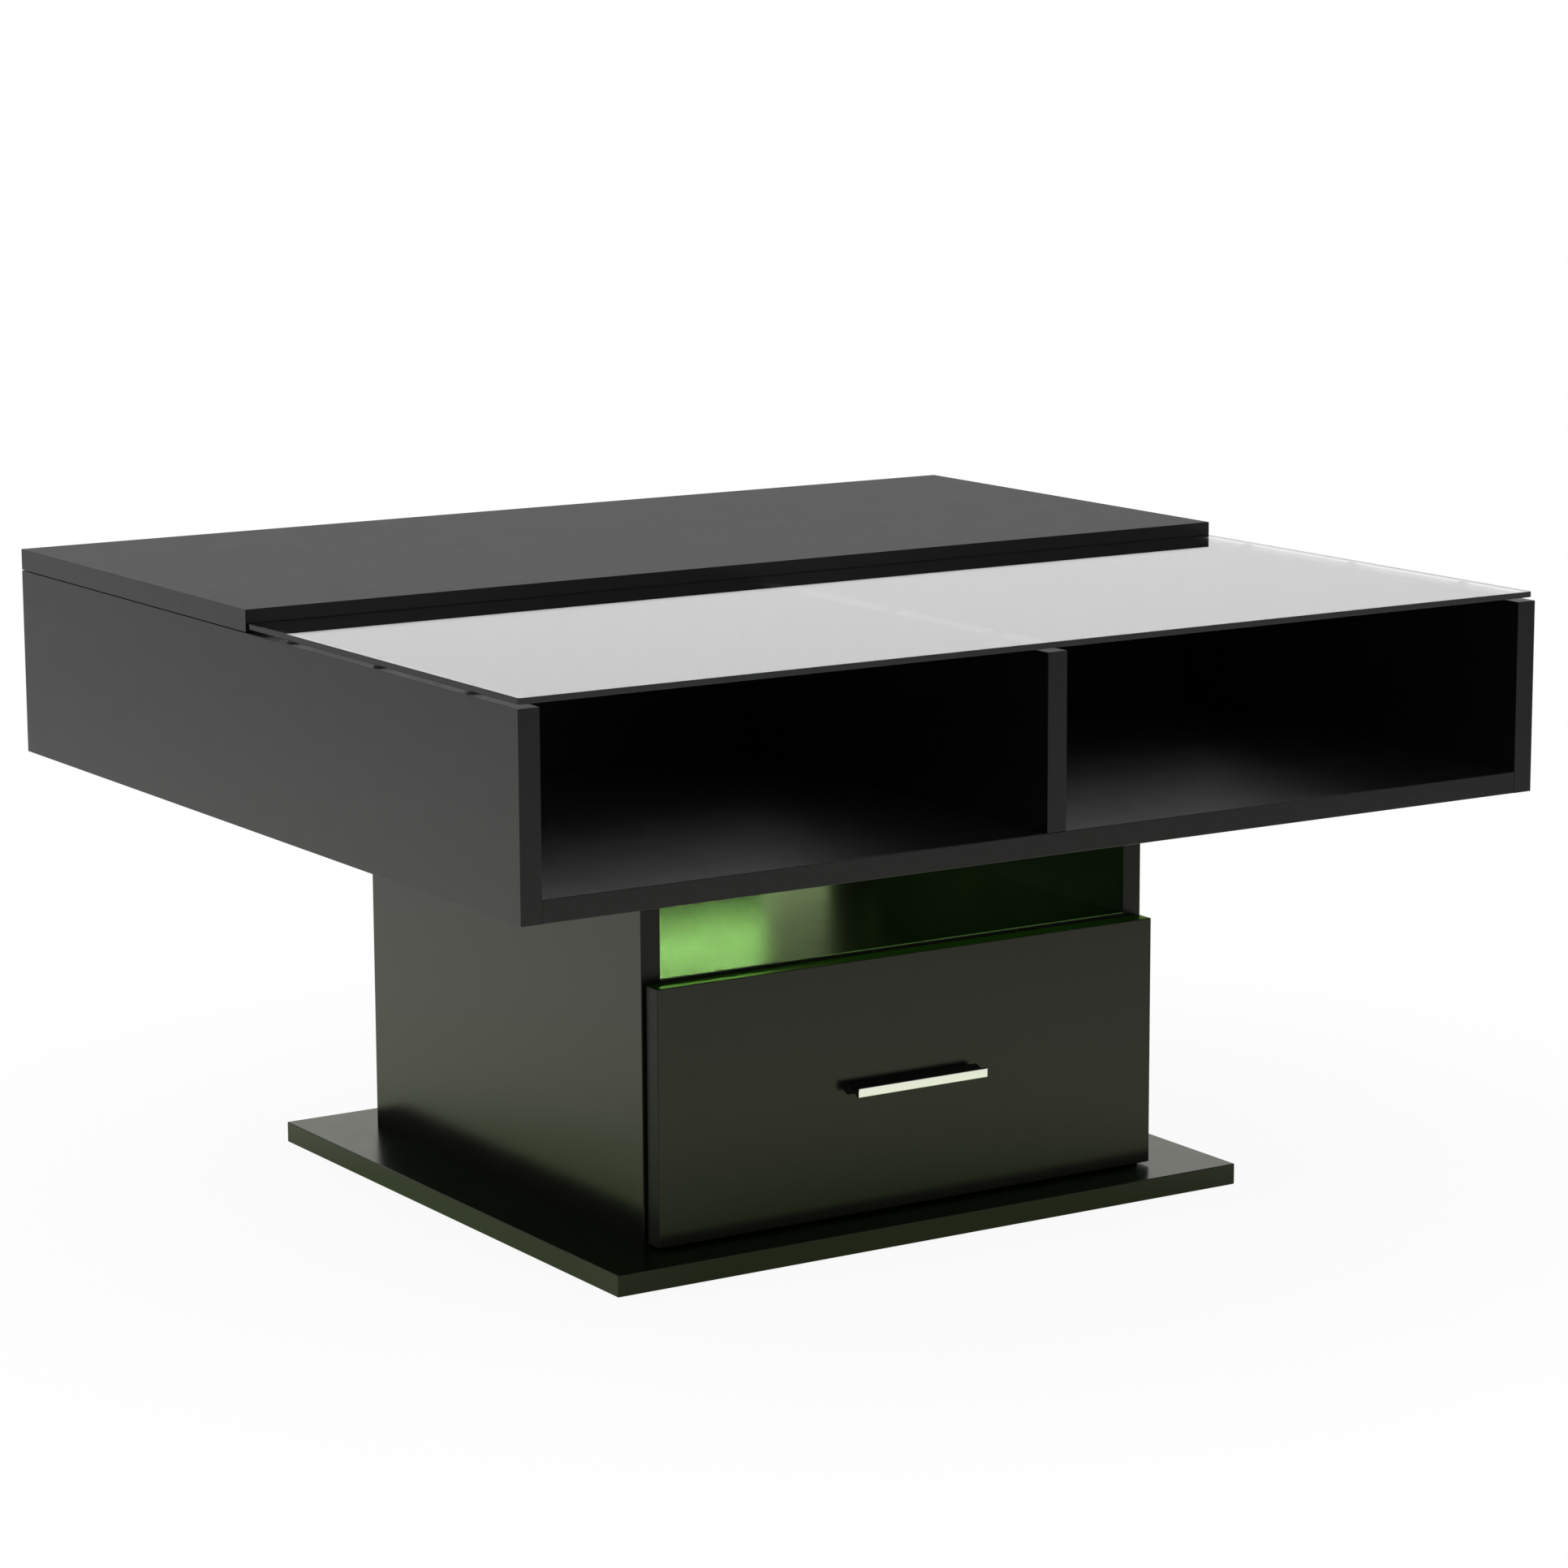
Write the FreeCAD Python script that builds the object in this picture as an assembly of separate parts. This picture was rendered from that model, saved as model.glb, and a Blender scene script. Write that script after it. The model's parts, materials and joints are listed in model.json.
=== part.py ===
import FreeCAD
import Part
import math
import os

from FreeCAD import Vector

# Low display table: glazed cabinet with a lift-up rear lid, on a pedestal with a lit niche and a drawer.
# Millimetres. Origin on the floor under the cabinet's centre, X to the right, Y to the back, Z up.

# Cabinet and boards
table_width = 800.0
table_depth = 730.0
cabinet_height = 133.0
board = 15.0
edge_bevel = 0.8
divider_offset = -3.0
partition_setback = 8.0  # behind the lid's front edge

# Pedestal, niche and base plate
pedestal_width = 410.0
pedestal_depth = 380.0
pedestal_height = 275.0
pedestal_setback = 187.0  # behind the cabinet's front edge
niche_height = 94.0
cable_notch_width = 71.0
cable_notch_height = 80.0
cable_notch_radius = 10.0
base_overhang = 49.0
glide_height = 2.0
glide_diameter = 24.0
glide_inset = 34.0

# Glass pane and its clear bumpers
glass_thickness = 4.0
glass_arris = 0.5
glass_corner = 2.0
glass_inset = 1.5  # inside the cabinet's outline
glass_lid_gap = 0.5
bumper_height = 2.2
bumper_diameter = 10.0
bumper_front_inset = 68.0
bumper_rear_inset = 55.0
bumpers_per_row = 3

# Lid and its felt pads
lid_depth = 365.0
lid_gap = 0.6
pad_diameter = 10.0
pad_inset = 40.0
pads_per_row = 3

# Lift fitting of the lid, one set on each side wall
arm_width = 20.0
arm_thickness = 3.0
arm_closed_angle = 8.0
arm_swing = 90.0
arm_pivot_inset = 88.0  # in front of the cabinet's back board
arm_pivot_rise = 20.0  # above the cabinet's floor
link_offset = 56.0  # link pivot behind the arm pivot
link_pivot_drop = 20.0  # below the lid
bracket_sheet = 2.0
bracket_margin = 15.0
bracket_corner = 8.0
lid_flange = 24.0
lid_bracket_setback = 44.0  # behind the partition
lid_bracket_reach = 40.0  # behind the link's upper pivot
pin_diameter = 8.0
pin_head_diameter = 13.0
pin_head = 2.5
pin_clearance = 0.05
open_pivot_clearance = 0.1
layer_gap = 0.5
face_gap = 0.1
cross_tube_diameter = 16.0
cross_tube_wall = 1.5
cross_tube_place = 92.0  # from the arm's lower pivot
stop_diameter = 8.0
stop_place = 40.0  # from the arm's lower pivot
stop_gap = 0.3

# Drawer
drawer_front_margin = 2.5
drawer_front_lift = 2.0
drawer_front_drop = 2.5  # below the niche floor's top
drawer_front_gap = 1.5
drawer_board = 12.0
drawer_box_lift = 14.0
drawer_top_clearance = 27.0  # below the niche floor
drawer_rear_clearance = 21.5
drawer_bottom_sheet = 4.0
drawer_bottom_rise = 10.0
groove_depth = 5.0
groove_clearance = 0.2
drawer_travel = 300.0

# Ball-bearing runners
runner_space = 12.7
runner_height = 45.0
runner_sheet = 1.2
runner_front_inset = 3.0
runner_rear_inset = 12.0
race_gap = 2.9
cage_clearance = 0.3
cage_width = 4.0
web_clearance = 0.8
outer_tip_recess = 3.7
middle_tip_recess = 3.2
inner_tip_clearance = 1.8

# Bar handle
handle_length = 106.0
handle_projection = 14.0
handle_foot_height = 7.5
handle_face_height = 6.4
handle_web = 2.6
handle_foot_depth = 7.0
handle_face_depth = 2.6
handle_flare = 2.0
handle_round = 0.5
handle_hole_inset = 5.0
handle_screw_diameter = 3.0
handle_screw_depth = 3.6
handle_screw_head_diameter = 7.0
handle_screw_head = 2.2

# Light strip
led_strip_width = 10.0
led_strip_thickness = 0.8
led_end_gap = 6.0
led_setback = 14.0  # strip's centre in front of the pedestal's back
led_side = 5.0
led_height = 1.4
led_pitch = 33.3
led_connector_length = 14.0
led_connector_width = 12.0
led_connector_height = 5.0

# Knock-down fittings
dowel_diameter = 8.0
dowel_length = 30.0
cam_diameter = 15.0
cam_skin = 3.0  # left under a cam
cam_distance = 24.0  # from a board's end to its cam
cam_bolt_diameter = 6.0
cam_bolt_reach = 3.0  # past the cam's centre
blind_skin = 5.0  # left behind a blind hole
fit_clearance = 0.05
tip_clearance = 0.5
fitting_inset = 60.0
wall_fitting_inset = 32.0
base_screw_diameter = 5.0
base_screw_length = 48.0
base_screw_head_diameter = 10.0
base_screw_head = 4.0

# Sides of the small prisms that stand for round fasteners and dots
shank_sides = 6
head_sides = 8
dot_sides = 12

# Places worked out from the sizes
half_width = table_width / 2
inner_half = half_width - board
front = -table_depth / 2
back = table_depth / 2
lid_front = back - lid_depth
partition_front = lid_front + partition_setback
partition_back = partition_front + board
back_board_front = back - board
pedestal_half = pedestal_width / 2
bay_half = pedestal_half - board
pedestal_front = front + pedestal_setback
pedestal_rear = pedestal_front + pedestal_depth
pedestal_back_front = pedestal_rear - board
base_half = pedestal_half + base_overhang
base_front = pedestal_front - base_overhang
base_rear = pedestal_rear + base_overhang
base_bottom = glide_height
base_top = base_bottom + board
cabinet_base = base_top + pedestal_height
cabinet_floor = cabinet_base + board
cabinet_top = cabinet_base + cabinet_height
niche_floor_top = cabinet_base - niche_height
niche_floor_bottom = niche_floor_top - board
glass_bottom = cabinet_top + bumper_height
lid_bottom = cabinet_top + lid_gap
divider_left = divider_offset - board / 2
divider_right = divider_offset + board / 2

X = Vector(1, 0, 0)
Y = Vector(0, 1, 0)
Z = Vector(0, 0, 1)


def block(x, y, z):
    size = [span[1] - span[0] for span in (x, y, z)]
    return Part.makeBox(*size, Vector(x[0], y[0], z[0]))


def panel(x, y, z):
    solid = block(x, y, z)
    return solid.makeChamfer(edge_bevel, solid.Edges)


def rod(start, direction, diameter, length):
    return Part.makeCylinder(diameter / 2, length, start, direction)


def prism(start, direction, diameter, length, sides):
    angles = [2 * math.pi * n / sides for n in range(sides)]
    points = [Vector(math.cos(a), math.sin(a), 0) * (diameter / 2) for a in angles]
    solid = Part.Face(Part.makePolygon(points + points[:1])).extrude(Z * length)
    solid.Placement = FreeCAD.Placement(start, FreeCAD.Rotation(Z, direction))
    return solid


def screw(start, direction, head, shank):
    # head and shank: (diameter, length) pairs, start: the outer end of the head
    top = prism(start, direction, *head, head_sides)
    body = prism(start + direction * head[1], direction, *shank, shank_sides)
    return top.fuse(body).removeSplitter()


def mirrored(solid):
    return solid.mirror(Vector(0, 0, 0), X)


def spread(first, last, count):
    step = (last - first) / (count - 1)
    return [first + step * n for n in range(count)]


def save(node, *solids):
    shape = solids[0] if len(solids) == 1 else Part.makeCompound(list(solids))
    shape.exportStep("parts/" + node + ".step")


# Boards, each with the tools that drill it
cabinet_y = (front, back)
wall_z = (cabinet_floor, cabinet_top)
pedestal_y = (pedestal_front, pedestal_rear)
pedestal_z = (base_top, cabinet_base)
bay_x = (-bay_half, bay_half)
inner_x = (-inner_half, inner_half)
boards = {
    "base_plate": panel((-base_half, base_half), (base_front, base_rear), (base_bottom, base_top)),
    "pedestal_left_side": panel((-pedestal_half, -bay_half), pedestal_y, pedestal_z),
    "pedestal_right_side": panel((bay_half, pedestal_half), pedestal_y, pedestal_z),
    "pedestal_back": panel(bay_x, (pedestal_back_front, pedestal_rear), pedestal_z),
    "niche_floor": panel(
        bay_x, (pedestal_front, pedestal_back_front), (niche_floor_bottom, niche_floor_top)
    ),
    "cabinet_bottom": panel(inner_x, cabinet_y, (cabinet_base, cabinet_floor)),
    "cabinet_left_side": panel((-half_width, -inner_half), cabinet_y, (cabinet_base, cabinet_top)),
    "cabinet_right_side": panel((inner_half, half_width), cabinet_y, (cabinet_base, cabinet_top)),
    "cabinet_partition": panel(inner_x, (partition_front, partition_back), wall_z),
    "cabinet_back": panel(inner_x, (back_board_front, back), wall_z),
    "front_divider": panel((divider_left, divider_right), (front, partition_front), wall_z),
}

# Notch in the pedestal's back for the light strip's lead, open to the top and to the right side
notch = block(
    (bay_half - cable_notch_width, bay_half + board),
    (pedestal_back_front - board, pedestal_rear + board),
    (cabinet_base - cable_notch_height, cabinet_base + board),
)
notch_corner = [
    edge
    for edge in notch.Edges
    if edge.BoundBox.YLength > board
    and edge.CenterOfMass.x < bay_half - cable_notch_width / 2
    and edge.CenterOfMass.z < cabinet_base - cable_notch_height / 2
]
cuts = {name: [] for name in boards}
cuts["pedestal_back"].append(notch.makeFillet(cable_notch_radius, notch_corner))

# Drawer: a front with two sides, a back and a bottom sheet in grooves
drawer_front_back = pedestal_front - drawer_front_gap
drawer_front_face = drawer_front_back - board
drawer_front_z = (base_top + drawer_front_lift, niche_floor_top - drawer_front_drop)
drawer_half = bay_half - runner_space
drawer_inner = drawer_half - drawer_board
drawer_end = pedestal_back_front - drawer_rear_clearance
drawer_z = (base_top + drawer_box_lift, niche_floor_bottom - drawer_top_clearance)
drawer_y = (drawer_front_back, drawer_end)
drawer_front_half = pedestal_half - drawer_front_margin
boards["drawer_front"] = panel(
    (-drawer_front_half, drawer_front_half), (drawer_front_face, drawer_front_back), drawer_front_z
)
boards["drawer_left_side"] = panel((-drawer_half, -drawer_inner), drawer_y, drawer_z)
boards["drawer_right_side"] = panel((drawer_inner, drawer_half), drawer_y, drawer_z)
boards["drawer_back"] = panel(
    (-drawer_inner, drawer_inner), (drawer_end - drawer_board, drawer_end), drawer_z
)
sheet_reach = groove_depth - groove_clearance
sheet_low = drawer_z[0] + drawer_bottom_rise
sheet_x = (-drawer_inner - sheet_reach, drawer_inner + sheet_reach)
sheet_y = (drawer_front_back - sheet_reach, drawer_end - drawer_board + sheet_reach)
sheet_z = (sheet_low, sheet_low + drawer_bottom_sheet)
drawer_bottom = block(sheet_x, sheet_y, sheet_z)
groove = block(
    (sheet_x[0] - groove_clearance, sheet_x[1] + groove_clearance),
    (sheet_y[0] - groove_clearance, sheet_y[1] + groove_clearance),
    (sheet_z[0], sheet_z[1] + groove_clearance),
)
for name in ("drawer_front", "drawer_left_side", "drawer_right_side", "drawer_back"):
    cuts[name] = [groove]


def fit_dowel(group, point, axis, end_board, face_board, face_thickness):
    # point: on the joint's plane, axis: from the end board into the face of the other
    depth = face_thickness - blind_skin
    start = point + axis * (depth - dowel_length)
    group.append(prism(start, axis, dowel_diameter, dowel_length, shank_sides))
    hole_start = start - axis * tip_clearance
    hole_diameter = dowel_diameter + 2 * fit_clearance
    hole = prism(hole_start, axis, hole_diameter, dowel_length + 2 * tip_clearance, shank_sides)
    cuts[end_board].append(hole)
    cuts[face_board].append(hole)


def fit_cam(locks, bolts, point, axis, facing, end_board, end_thickness, face_board):
    # facing: from the end board's middle towards the face that shows the cam
    centre = point - axis * cam_distance
    depth = board - blind_skin
    reach = cam_distance + cam_bolt_reach
    bolt_start = centre - axis * cam_bolt_reach
    bolt = prism(bolt_start, axis, cam_bolt_diameter, reach + depth, shank_sides)
    channel = prism(
        bolt_start - axis * tip_clearance,
        axis,
        cam_bolt_diameter + 2 * fit_clearance,
        reach + depth + 2 * tip_clearance,
        shank_sides,
    )
    mouth = centre + facing * (end_thickness / 2)
    cam_depth = end_thickness - cam_skin
    lock = prism(mouth, -facing, cam_diameter, cam_depth, head_sides)
    seat = prism(mouth, -facing, cam_diameter + 2 * fit_clearance, cam_depth, head_sides)
    locks.append(lock.cut(channel))
    bolts.append(bolt)
    cuts[end_board] += [seat, channel]
    cuts[face_board].append(channel)


# Knock-down fittings of the cabinet and pedestal
dowels = []
cam_locks = []
cam_bolts = []
side_y = (pedestal_front + fitting_inset, pedestal_rear - fitting_inset)
niche_y = (pedestal_front + fitting_inset, pedestal_back_front - fitting_inset)
niche_mid = niche_floor_bottom + board / 2
floor_mid = cabinet_base + board / 2
wall_low = cabinet_floor + wall_fitting_inset
wall_high = cabinet_top - wall_fitting_inset
back_mid = (base_top + niche_floor_bottom) / 2
for side, word in ((-1, "left"), (1, "right")):
    outward = X * side
    pedestal_side = "pedestal_" + word + "_side"
    cabinet_side = "cabinet_" + word + "_side"
    side_x = side * (pedestal_half - board / 2)
    for y in side_y:
        point = Vector(side_x, y, cabinet_base)
        fit_cam(cam_locks, cam_bolts, point, Z, -outward, pedestal_side, board, "cabinet_bottom")
    point = Vector(side_x, sum(side_y) / 2, cabinet_base)
    fit_dowel(dowels, point, Z, pedestal_side, "cabinet_bottom", board)
    for y in niche_y:
        point = Vector(side * bay_half, y, niche_mid)
        fit_cam(cam_locks, cam_bolts, point, outward, -Z, "niche_floor", board, pedestal_side)
    point = Vector(side * bay_half, pedestal_back_front + board / 2, back_mid)
    fit_cam(cam_locks, cam_bolts, point, outward, -Y, "pedestal_back", board, pedestal_side)
    for y in (front + fitting_inset, back - fitting_inset):
        point = Vector(side * inner_half, y, floor_mid)
        fit_cam(cam_locks, cam_bolts, point, outward, -Z, "cabinet_bottom", board, cabinet_side)
    point = Vector(side * inner_half, 0, floor_mid)
    fit_dowel(dowels, point, outward, "cabinet_bottom", cabinet_side, board)
    for name, y, facing in (
        ("cabinet_partition", partition_front + board / 2, Y),
        ("cabinet_back", back_board_front + board / 2, -Y),
    ):
        point = Vector(side * inner_half, y, wall_low)
        fit_cam(cam_locks, cam_bolts, point, outward, facing, name, board, cabinet_side)
        point = Vector(side * inner_half, y, wall_high)
        fit_dowel(dowels, point, outward, name, cabinet_side, board)
for z in (wall_low, wall_high):
    point = Vector(divider_offset, partition_front, z)
    fit_dowel(dowels, point, Y, "front_divider", "cabinet_partition", board)
for y in (front + fitting_inset, partition_front - fitting_inset):
    point = Vector(divider_offset, y, cabinet_floor)
    fit_dowel(dowels, point, -Z, "front_divider", "cabinet_bottom", board)

# Sunk screws from below the base plate into the pedestal
base_screws = []
base_head = (base_screw_head_diameter, base_screw_head)
base_shank = (base_screw_diameter, base_screw_length - base_screw_head)
base_head_seat = (base_screw_head_diameter + 2 * fit_clearance, base_screw_head)
base_shank_seat = (base_screw_diameter + 2 * fit_clearance, base_shank[1] + tip_clearance)
screw_places = [
    (side * (pedestal_half - board / 2), y, "pedestal_" + word + "_side")
    for side, word in ((-1, "left"), (1, "right"))
    for y in side_y
]
back_y = pedestal_back_front + board / 2
screw_places += [(side * fitting_inset, back_y, "pedestal_back") for side in (-1, 1)]
for x, y, name in screw_places:
    start = Vector(x, y, base_bottom)
    base_screws.append(screw(start, Z, base_head, base_shank))
    seat = screw(start, Z, base_head_seat, base_shank_seat)
    cuts["base_plate"].append(seat)
    cuts[name].append(seat)

# Glides under the base plate
glides = [
    prism(Vector(x, y, 0), Z, glide_diameter, glide_height, dot_sides)
    for x in (-base_half + glide_inset, base_half - glide_inset)
    for y in (base_front + glide_inset, base_rear - glide_inset)
]

# Fittings of the drawer box
drawer_dowels = []
drawer_cam_locks = []
drawer_cam_bolts = []
drawer_back_y = drawer_end - drawer_board / 2
drawer_fitting_z = (drawer_z[0] + wall_fitting_inset, drawer_z[1] - wall_fitting_inset)
for side, word in ((-1, "left"), (1, "right")):
    name = "drawer_" + word + "_side"
    outward = X * side
    for z in drawer_fitting_z:
        point = Vector(side * (drawer_half - drawer_board / 2), drawer_front_back, z)
        fit_cam(
            drawer_cam_locks, drawer_cam_bolts, point, -Y, -outward, name, drawer_board, "drawer_front"
        )
        point = Vector(side * drawer_inner, drawer_back_y, z)
        fit_dowel(drawer_dowels, point, outward, "drawer_back", name, drawer_board)

# Bar handle: a foot that tapers to a web, and a flat bright face, held by two screws from inside
handle_z = sum(drawer_front_z) / 2
half_profile = [
    (0, handle_foot_height / 2),
    (handle_foot_depth, handle_web / 2),
    (handle_projection - handle_face_depth - handle_flare, handle_web / 2),
    (handle_projection - handle_face_depth, handle_face_height / 2),
    (handle_projection, handle_face_height / 2),
]
profile = half_profile + [(a, -h) for a, h in reversed(half_profile)]
handle_left = -handle_length / 2
points = [Vector(handle_left, drawer_front_face - a, handle_z + h) for a, h in profile]
handle = Part.Face(Part.makePolygon(points + points[:1])).extrude(X * handle_length)
face_y = drawer_front_face - handle_projection
face_edges = [edge for edge in handle.Edges if abs(edge.CenterOfMass.y - face_y) < face_gap]
handle = handle.makeFillet(handle_round, face_edges)
handle_screws = []
handle_head = (handle_screw_head_diameter, handle_screw_head)
handle_shank = (handle_screw_diameter, board + handle_screw_depth)
handle_hole = handle_screw_diameter + 2 * fit_clearance
for x in (handle_left + handle_hole_inset, -handle_left - handle_hole_inset):
    start = Vector(x, drawer_front_back, handle_z)
    handle_screws.append(screw(start + Y * handle_screw_head, -Y, handle_head, handle_shank))
    hole = prism(start, -Y, handle_hole, handle_shank[1] + tip_clearance, shank_sides)
    cuts["drawer_front"].append(hole)
    handle = handle.cut(hole)

# Glass pane with ground edges, on clear bumpers
glass_x = half_width - glass_inset
glass_y = (front + glass_inset, lid_front - glass_lid_gap)
glass = block((-glass_x, glass_x), glass_y, (glass_bottom, glass_bottom + glass_thickness))
upright = [edge for edge in glass.Edges if edge.BoundBox.ZLength > glass_thickness / 2]
glass = glass.makeChamfer(glass_corner, upright)
glass_mid = glass_bottom + glass_thickness / 2
rim = [edge for edge in glass.Edges if abs(edge.CenterOfMass.z - glass_mid) > glass_arris]
glass = glass.makeChamfer(glass_arris, rim)
bumper_y = spread(front + bumper_front_inset, lid_front - bumper_rear_inset, bumpers_per_row)
wall_mid = half_width - board / 2
bumpers = [
    prism(Vector(x, y, cabinet_top), Z, bumper_diameter, bumper_height, dot_sides)
    for x in (-wall_mid, divider_offset, wall_mid)
    for y in bumper_y
]

# Lid board on felt pads
lid = panel((-half_width, half_width), (lid_front, back), (lid_bottom, lid_bottom + board))
pad_y = spread(lid_front + pad_inset, back - pad_inset, pads_per_row)
pads = [
    prism(Vector(x, y, cabinet_top), Z, pad_diameter, lid_gap, dot_sides)
    for x in (-wall_mid, wall_mid)
    for y in pad_y
]

# Lift fitting: pivots of the left set in the closed position, (y, z)
closed = math.radians(arm_closed_angle)
opened = math.radians(arm_closed_angle + arm_swing)
lid_plate_front = partition_back + lid_bracket_setback
arm_low = (back_board_front - arm_pivot_inset, cabinet_floor + arm_pivot_rise)
arm_run = arm_low[0] - lid_plate_front - bracket_margin
arm_climb = arm_run * math.tan(closed)
arm_high = (arm_low[0] - arm_run, arm_low[1] + arm_climb)
link_high = (arm_high[0] + link_offset, lid_bottom - link_pivot_drop)
link_low = (arm_low[0] + link_offset, link_high[1] - arm_climb)
wall_x = -inner_half
arm_near = bracket_sheet + layer_gap  # layers counted inwards from the side wall
arm_far = arm_near + arm_thickness
lid_plate_near = arm_far + layer_gap
lid_plate_far = lid_plate_near + bracket_sheet


def at(depth, place):
    return Vector(wall_x + depth, place[0], place[1])


def flat_bar(low, high, clearance_low, clearance_high):
    # straight bar with round ends and a pivot hole at each end
    along = Vector(0, high[0] - low[0], high[1] - low[1])
    along.normalize()
    across = X.cross(along) * (arm_width / 2)
    tip = along * (arm_width / 2)
    a = at(arm_near, low)
    b = at(arm_near, high)
    outline = Part.Wire(
        [
            Part.LineSegment(a + across, b + across).toShape(),
            Part.Arc(b + across, b + tip, b - across).toShape(),
            Part.LineSegment(b - across, a - across).toShape(),
            Part.Arc(a - across, a - tip, a + across).toShape(),
        ]
    )
    bar = Part.Face(outline).extrude(X * arm_thickness)
    for place, clearance in ((low, clearance_low), (high, clearance_high)):
        hole = rod(at(0, place), X, pin_diameter + 2 * clearance, lid_plate_far)
        bar = bar.cut(hole)
    return bar


def clipped_plate(outline, near, far, sharp):
    # flat plate from (y, z) corners, clipped at all of them except the ones listed in sharp
    points = [at(near, place) for place in outline]
    plate = Part.Face(Part.makePolygon(points + points[:1])).extrude(X * (far - near))
    corners = []
    for edge in plate.Edges:
        centre = edge.CenterOfMass
        through = edge.BoundBox.XLength > bracket_sheet / 2
        if through and all(math.hypot(centre.y - y, centre.z - z) > face_gap for y, z in sharp):
            corners.append(edge)
    return plate.makeChamfer(bracket_corner, corners)


bracket_y = (arm_low[0] - bracket_margin, link_low[0] + bracket_margin)
bracket_z = (arm_low[1] - bracket_margin, link_low[1] + bracket_margin)
bracket_outline = [(y, z) for y, z in zip(bracket_y + bracket_y[::-1], sorted(bracket_z * 2))]
lift_bracket = clipped_plate(bracket_outline, 0, bracket_sheet, [])

lid_plate_rear = link_high[0] + lid_bracket_reach
lid_plate_outline = [
    (lid_plate_front, lid_bottom),
    (lid_plate_front, arm_high[1] - bracket_margin),
    (arm_high[0] + bracket_margin, arm_high[1] - bracket_margin),
    (lid_plate_rear, link_high[1] - bracket_margin),
    (lid_plate_rear, lid_bottom),
]
lid_bracket = clipped_plate(
    lid_plate_outline, lid_plate_near, lid_plate_far, [lid_plate_outline[0], lid_plate_outline[-1]]
)
flange = block(
    (wall_x + lid_plate_far, wall_x + lid_plate_far + lid_flange),
    (lid_plate_front, lid_plate_rear),
    (lid_bottom - bracket_sheet, lid_bottom),
)
lid_bracket = lid_bracket.fuse(flange).removeSplitter()

pin_hole = pin_diameter + 2 * pin_clearance
for place in (arm_low, link_low):
    lift_bracket = lift_bracket.cut(rod(at(0, place), X, pin_hole, bracket_sheet))
for place in (arm_high, link_high):
    lid_bracket = lid_bracket.cut(rod(at(0, place), X, pin_hole, lid_plate_far))


def pivot_bolt(place, near, far):
    # plain shank with a hexagon head at its inner end
    shank = rod(at(near, place), X, pin_diameter, far - near)
    return shank.fuse(prism(at(far, place), X, pin_head_diameter, pin_head, shank_sides))


base_pins = [pivot_bolt(place, 0, arm_far + face_gap) for place in (arm_low, link_low)]
lid_pins = [pivot_bolt(place, arm_near + face_gap, lid_plate_far) for place in (arm_high, link_high)]

# Stop peg that the arm leans on when the lid is up, just past upright
reach_y = -math.cos(opened) * stop_place
reach_z = math.sin(opened) * stop_place
stop_offset = arm_width / 2 + stop_diameter / 2 + stop_gap
stop_peg = (
    arm_low[0] + reach_y + math.sin(opened) * stop_offset,
    arm_low[1] + reach_z + math.cos(opened) * stop_offset,
)
base_pins.append(
    prism(at(bracket_sheet, stop_peg), X, stop_diameter, arm_far - bracket_sheet, dot_sides)
)

lift_arm = flat_bar(arm_low, arm_high, pin_clearance, pin_clearance)
lift_link = flat_bar(link_low, link_high, pin_clearance, open_pivot_clearance)
tube_place = (
    arm_low[0] - cross_tube_place * math.cos(closed),
    arm_low[1] + cross_tube_place * math.sin(closed),
)
tube_length = 2 * (inner_half - arm_far)
cross_tube = rod(at(arm_far, tube_place), X, cross_tube_diameter, tube_length)
cross_tube = cross_tube.cut(
    rod(at(arm_far, tube_place), X, cross_tube_diameter - 2 * cross_tube_wall, tube_length)
)

# Runners: three nested channels on each side, with the ball cages between their flanges
runner_y = (pedestal_front + runner_front_inset, pedestal_back_front - runner_rear_inset)
runner_z = sum(drawer_z) / 2
outer_half = runner_height / 2
middle_half = outer_half - runner_sheet - race_gap
inner_member_half = middle_half - runner_sheet - race_gap
middle_web = runner_sheet + web_clearance
runner_x = -bay_half


def channel(web, tip, half):
    # U section: web is the depth of its outside face, tip the depth of the flange ends
    wall = math.copysign(runner_sheet, tip - web)
    inner = half - runner_sheet
    section = [
        (web, half),
        (tip, half),
        (tip, inner),
        (web + wall, inner),
        (web + wall, -inner),
        (tip, -inner),
        (tip, -half),
        (web, -half),
    ]
    points = [Vector(runner_x + depth, runner_y[0], runner_z + h) for depth, h in section]
    return Part.Face(Part.makePolygon(points + points[:1])).extrude(Y * (runner_y[1] - runner_y[0]))


def cage_pair(tip, half, y):
    # a strip above and a strip below, in the race between two flanges
    strips = []
    thickness = race_gap - 2 * cage_clearance
    low = half + cage_clearance
    for z in (runner_z + low, runner_z - low - thickness):
        x = (runner_x + tip - cage_width, runner_x + tip)
        strips.append(block(x, y, (z, z + thickness)))
    return strips


outer_tip = runner_space - outer_tip_recess
middle_tip = runner_space - middle_tip_recess
inner_tip = middle_web + runner_sheet + inner_tip_clearance
runner_outer = channel(0, outer_tip, outer_half)
runner_middle = channel(middle_web, middle_tip, middle_half)
runner_inner = channel(runner_space, inner_tip, inner_member_half)
cage_end = drawer_travel / 2
cages = cage_pair(outer_tip, middle_half, (runner_y[0] + cage_end, runner_y[1]))
cages += cage_pair(middle_tip, inner_member_half, (runner_y[0], runner_y[1] - cage_end))

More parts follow.
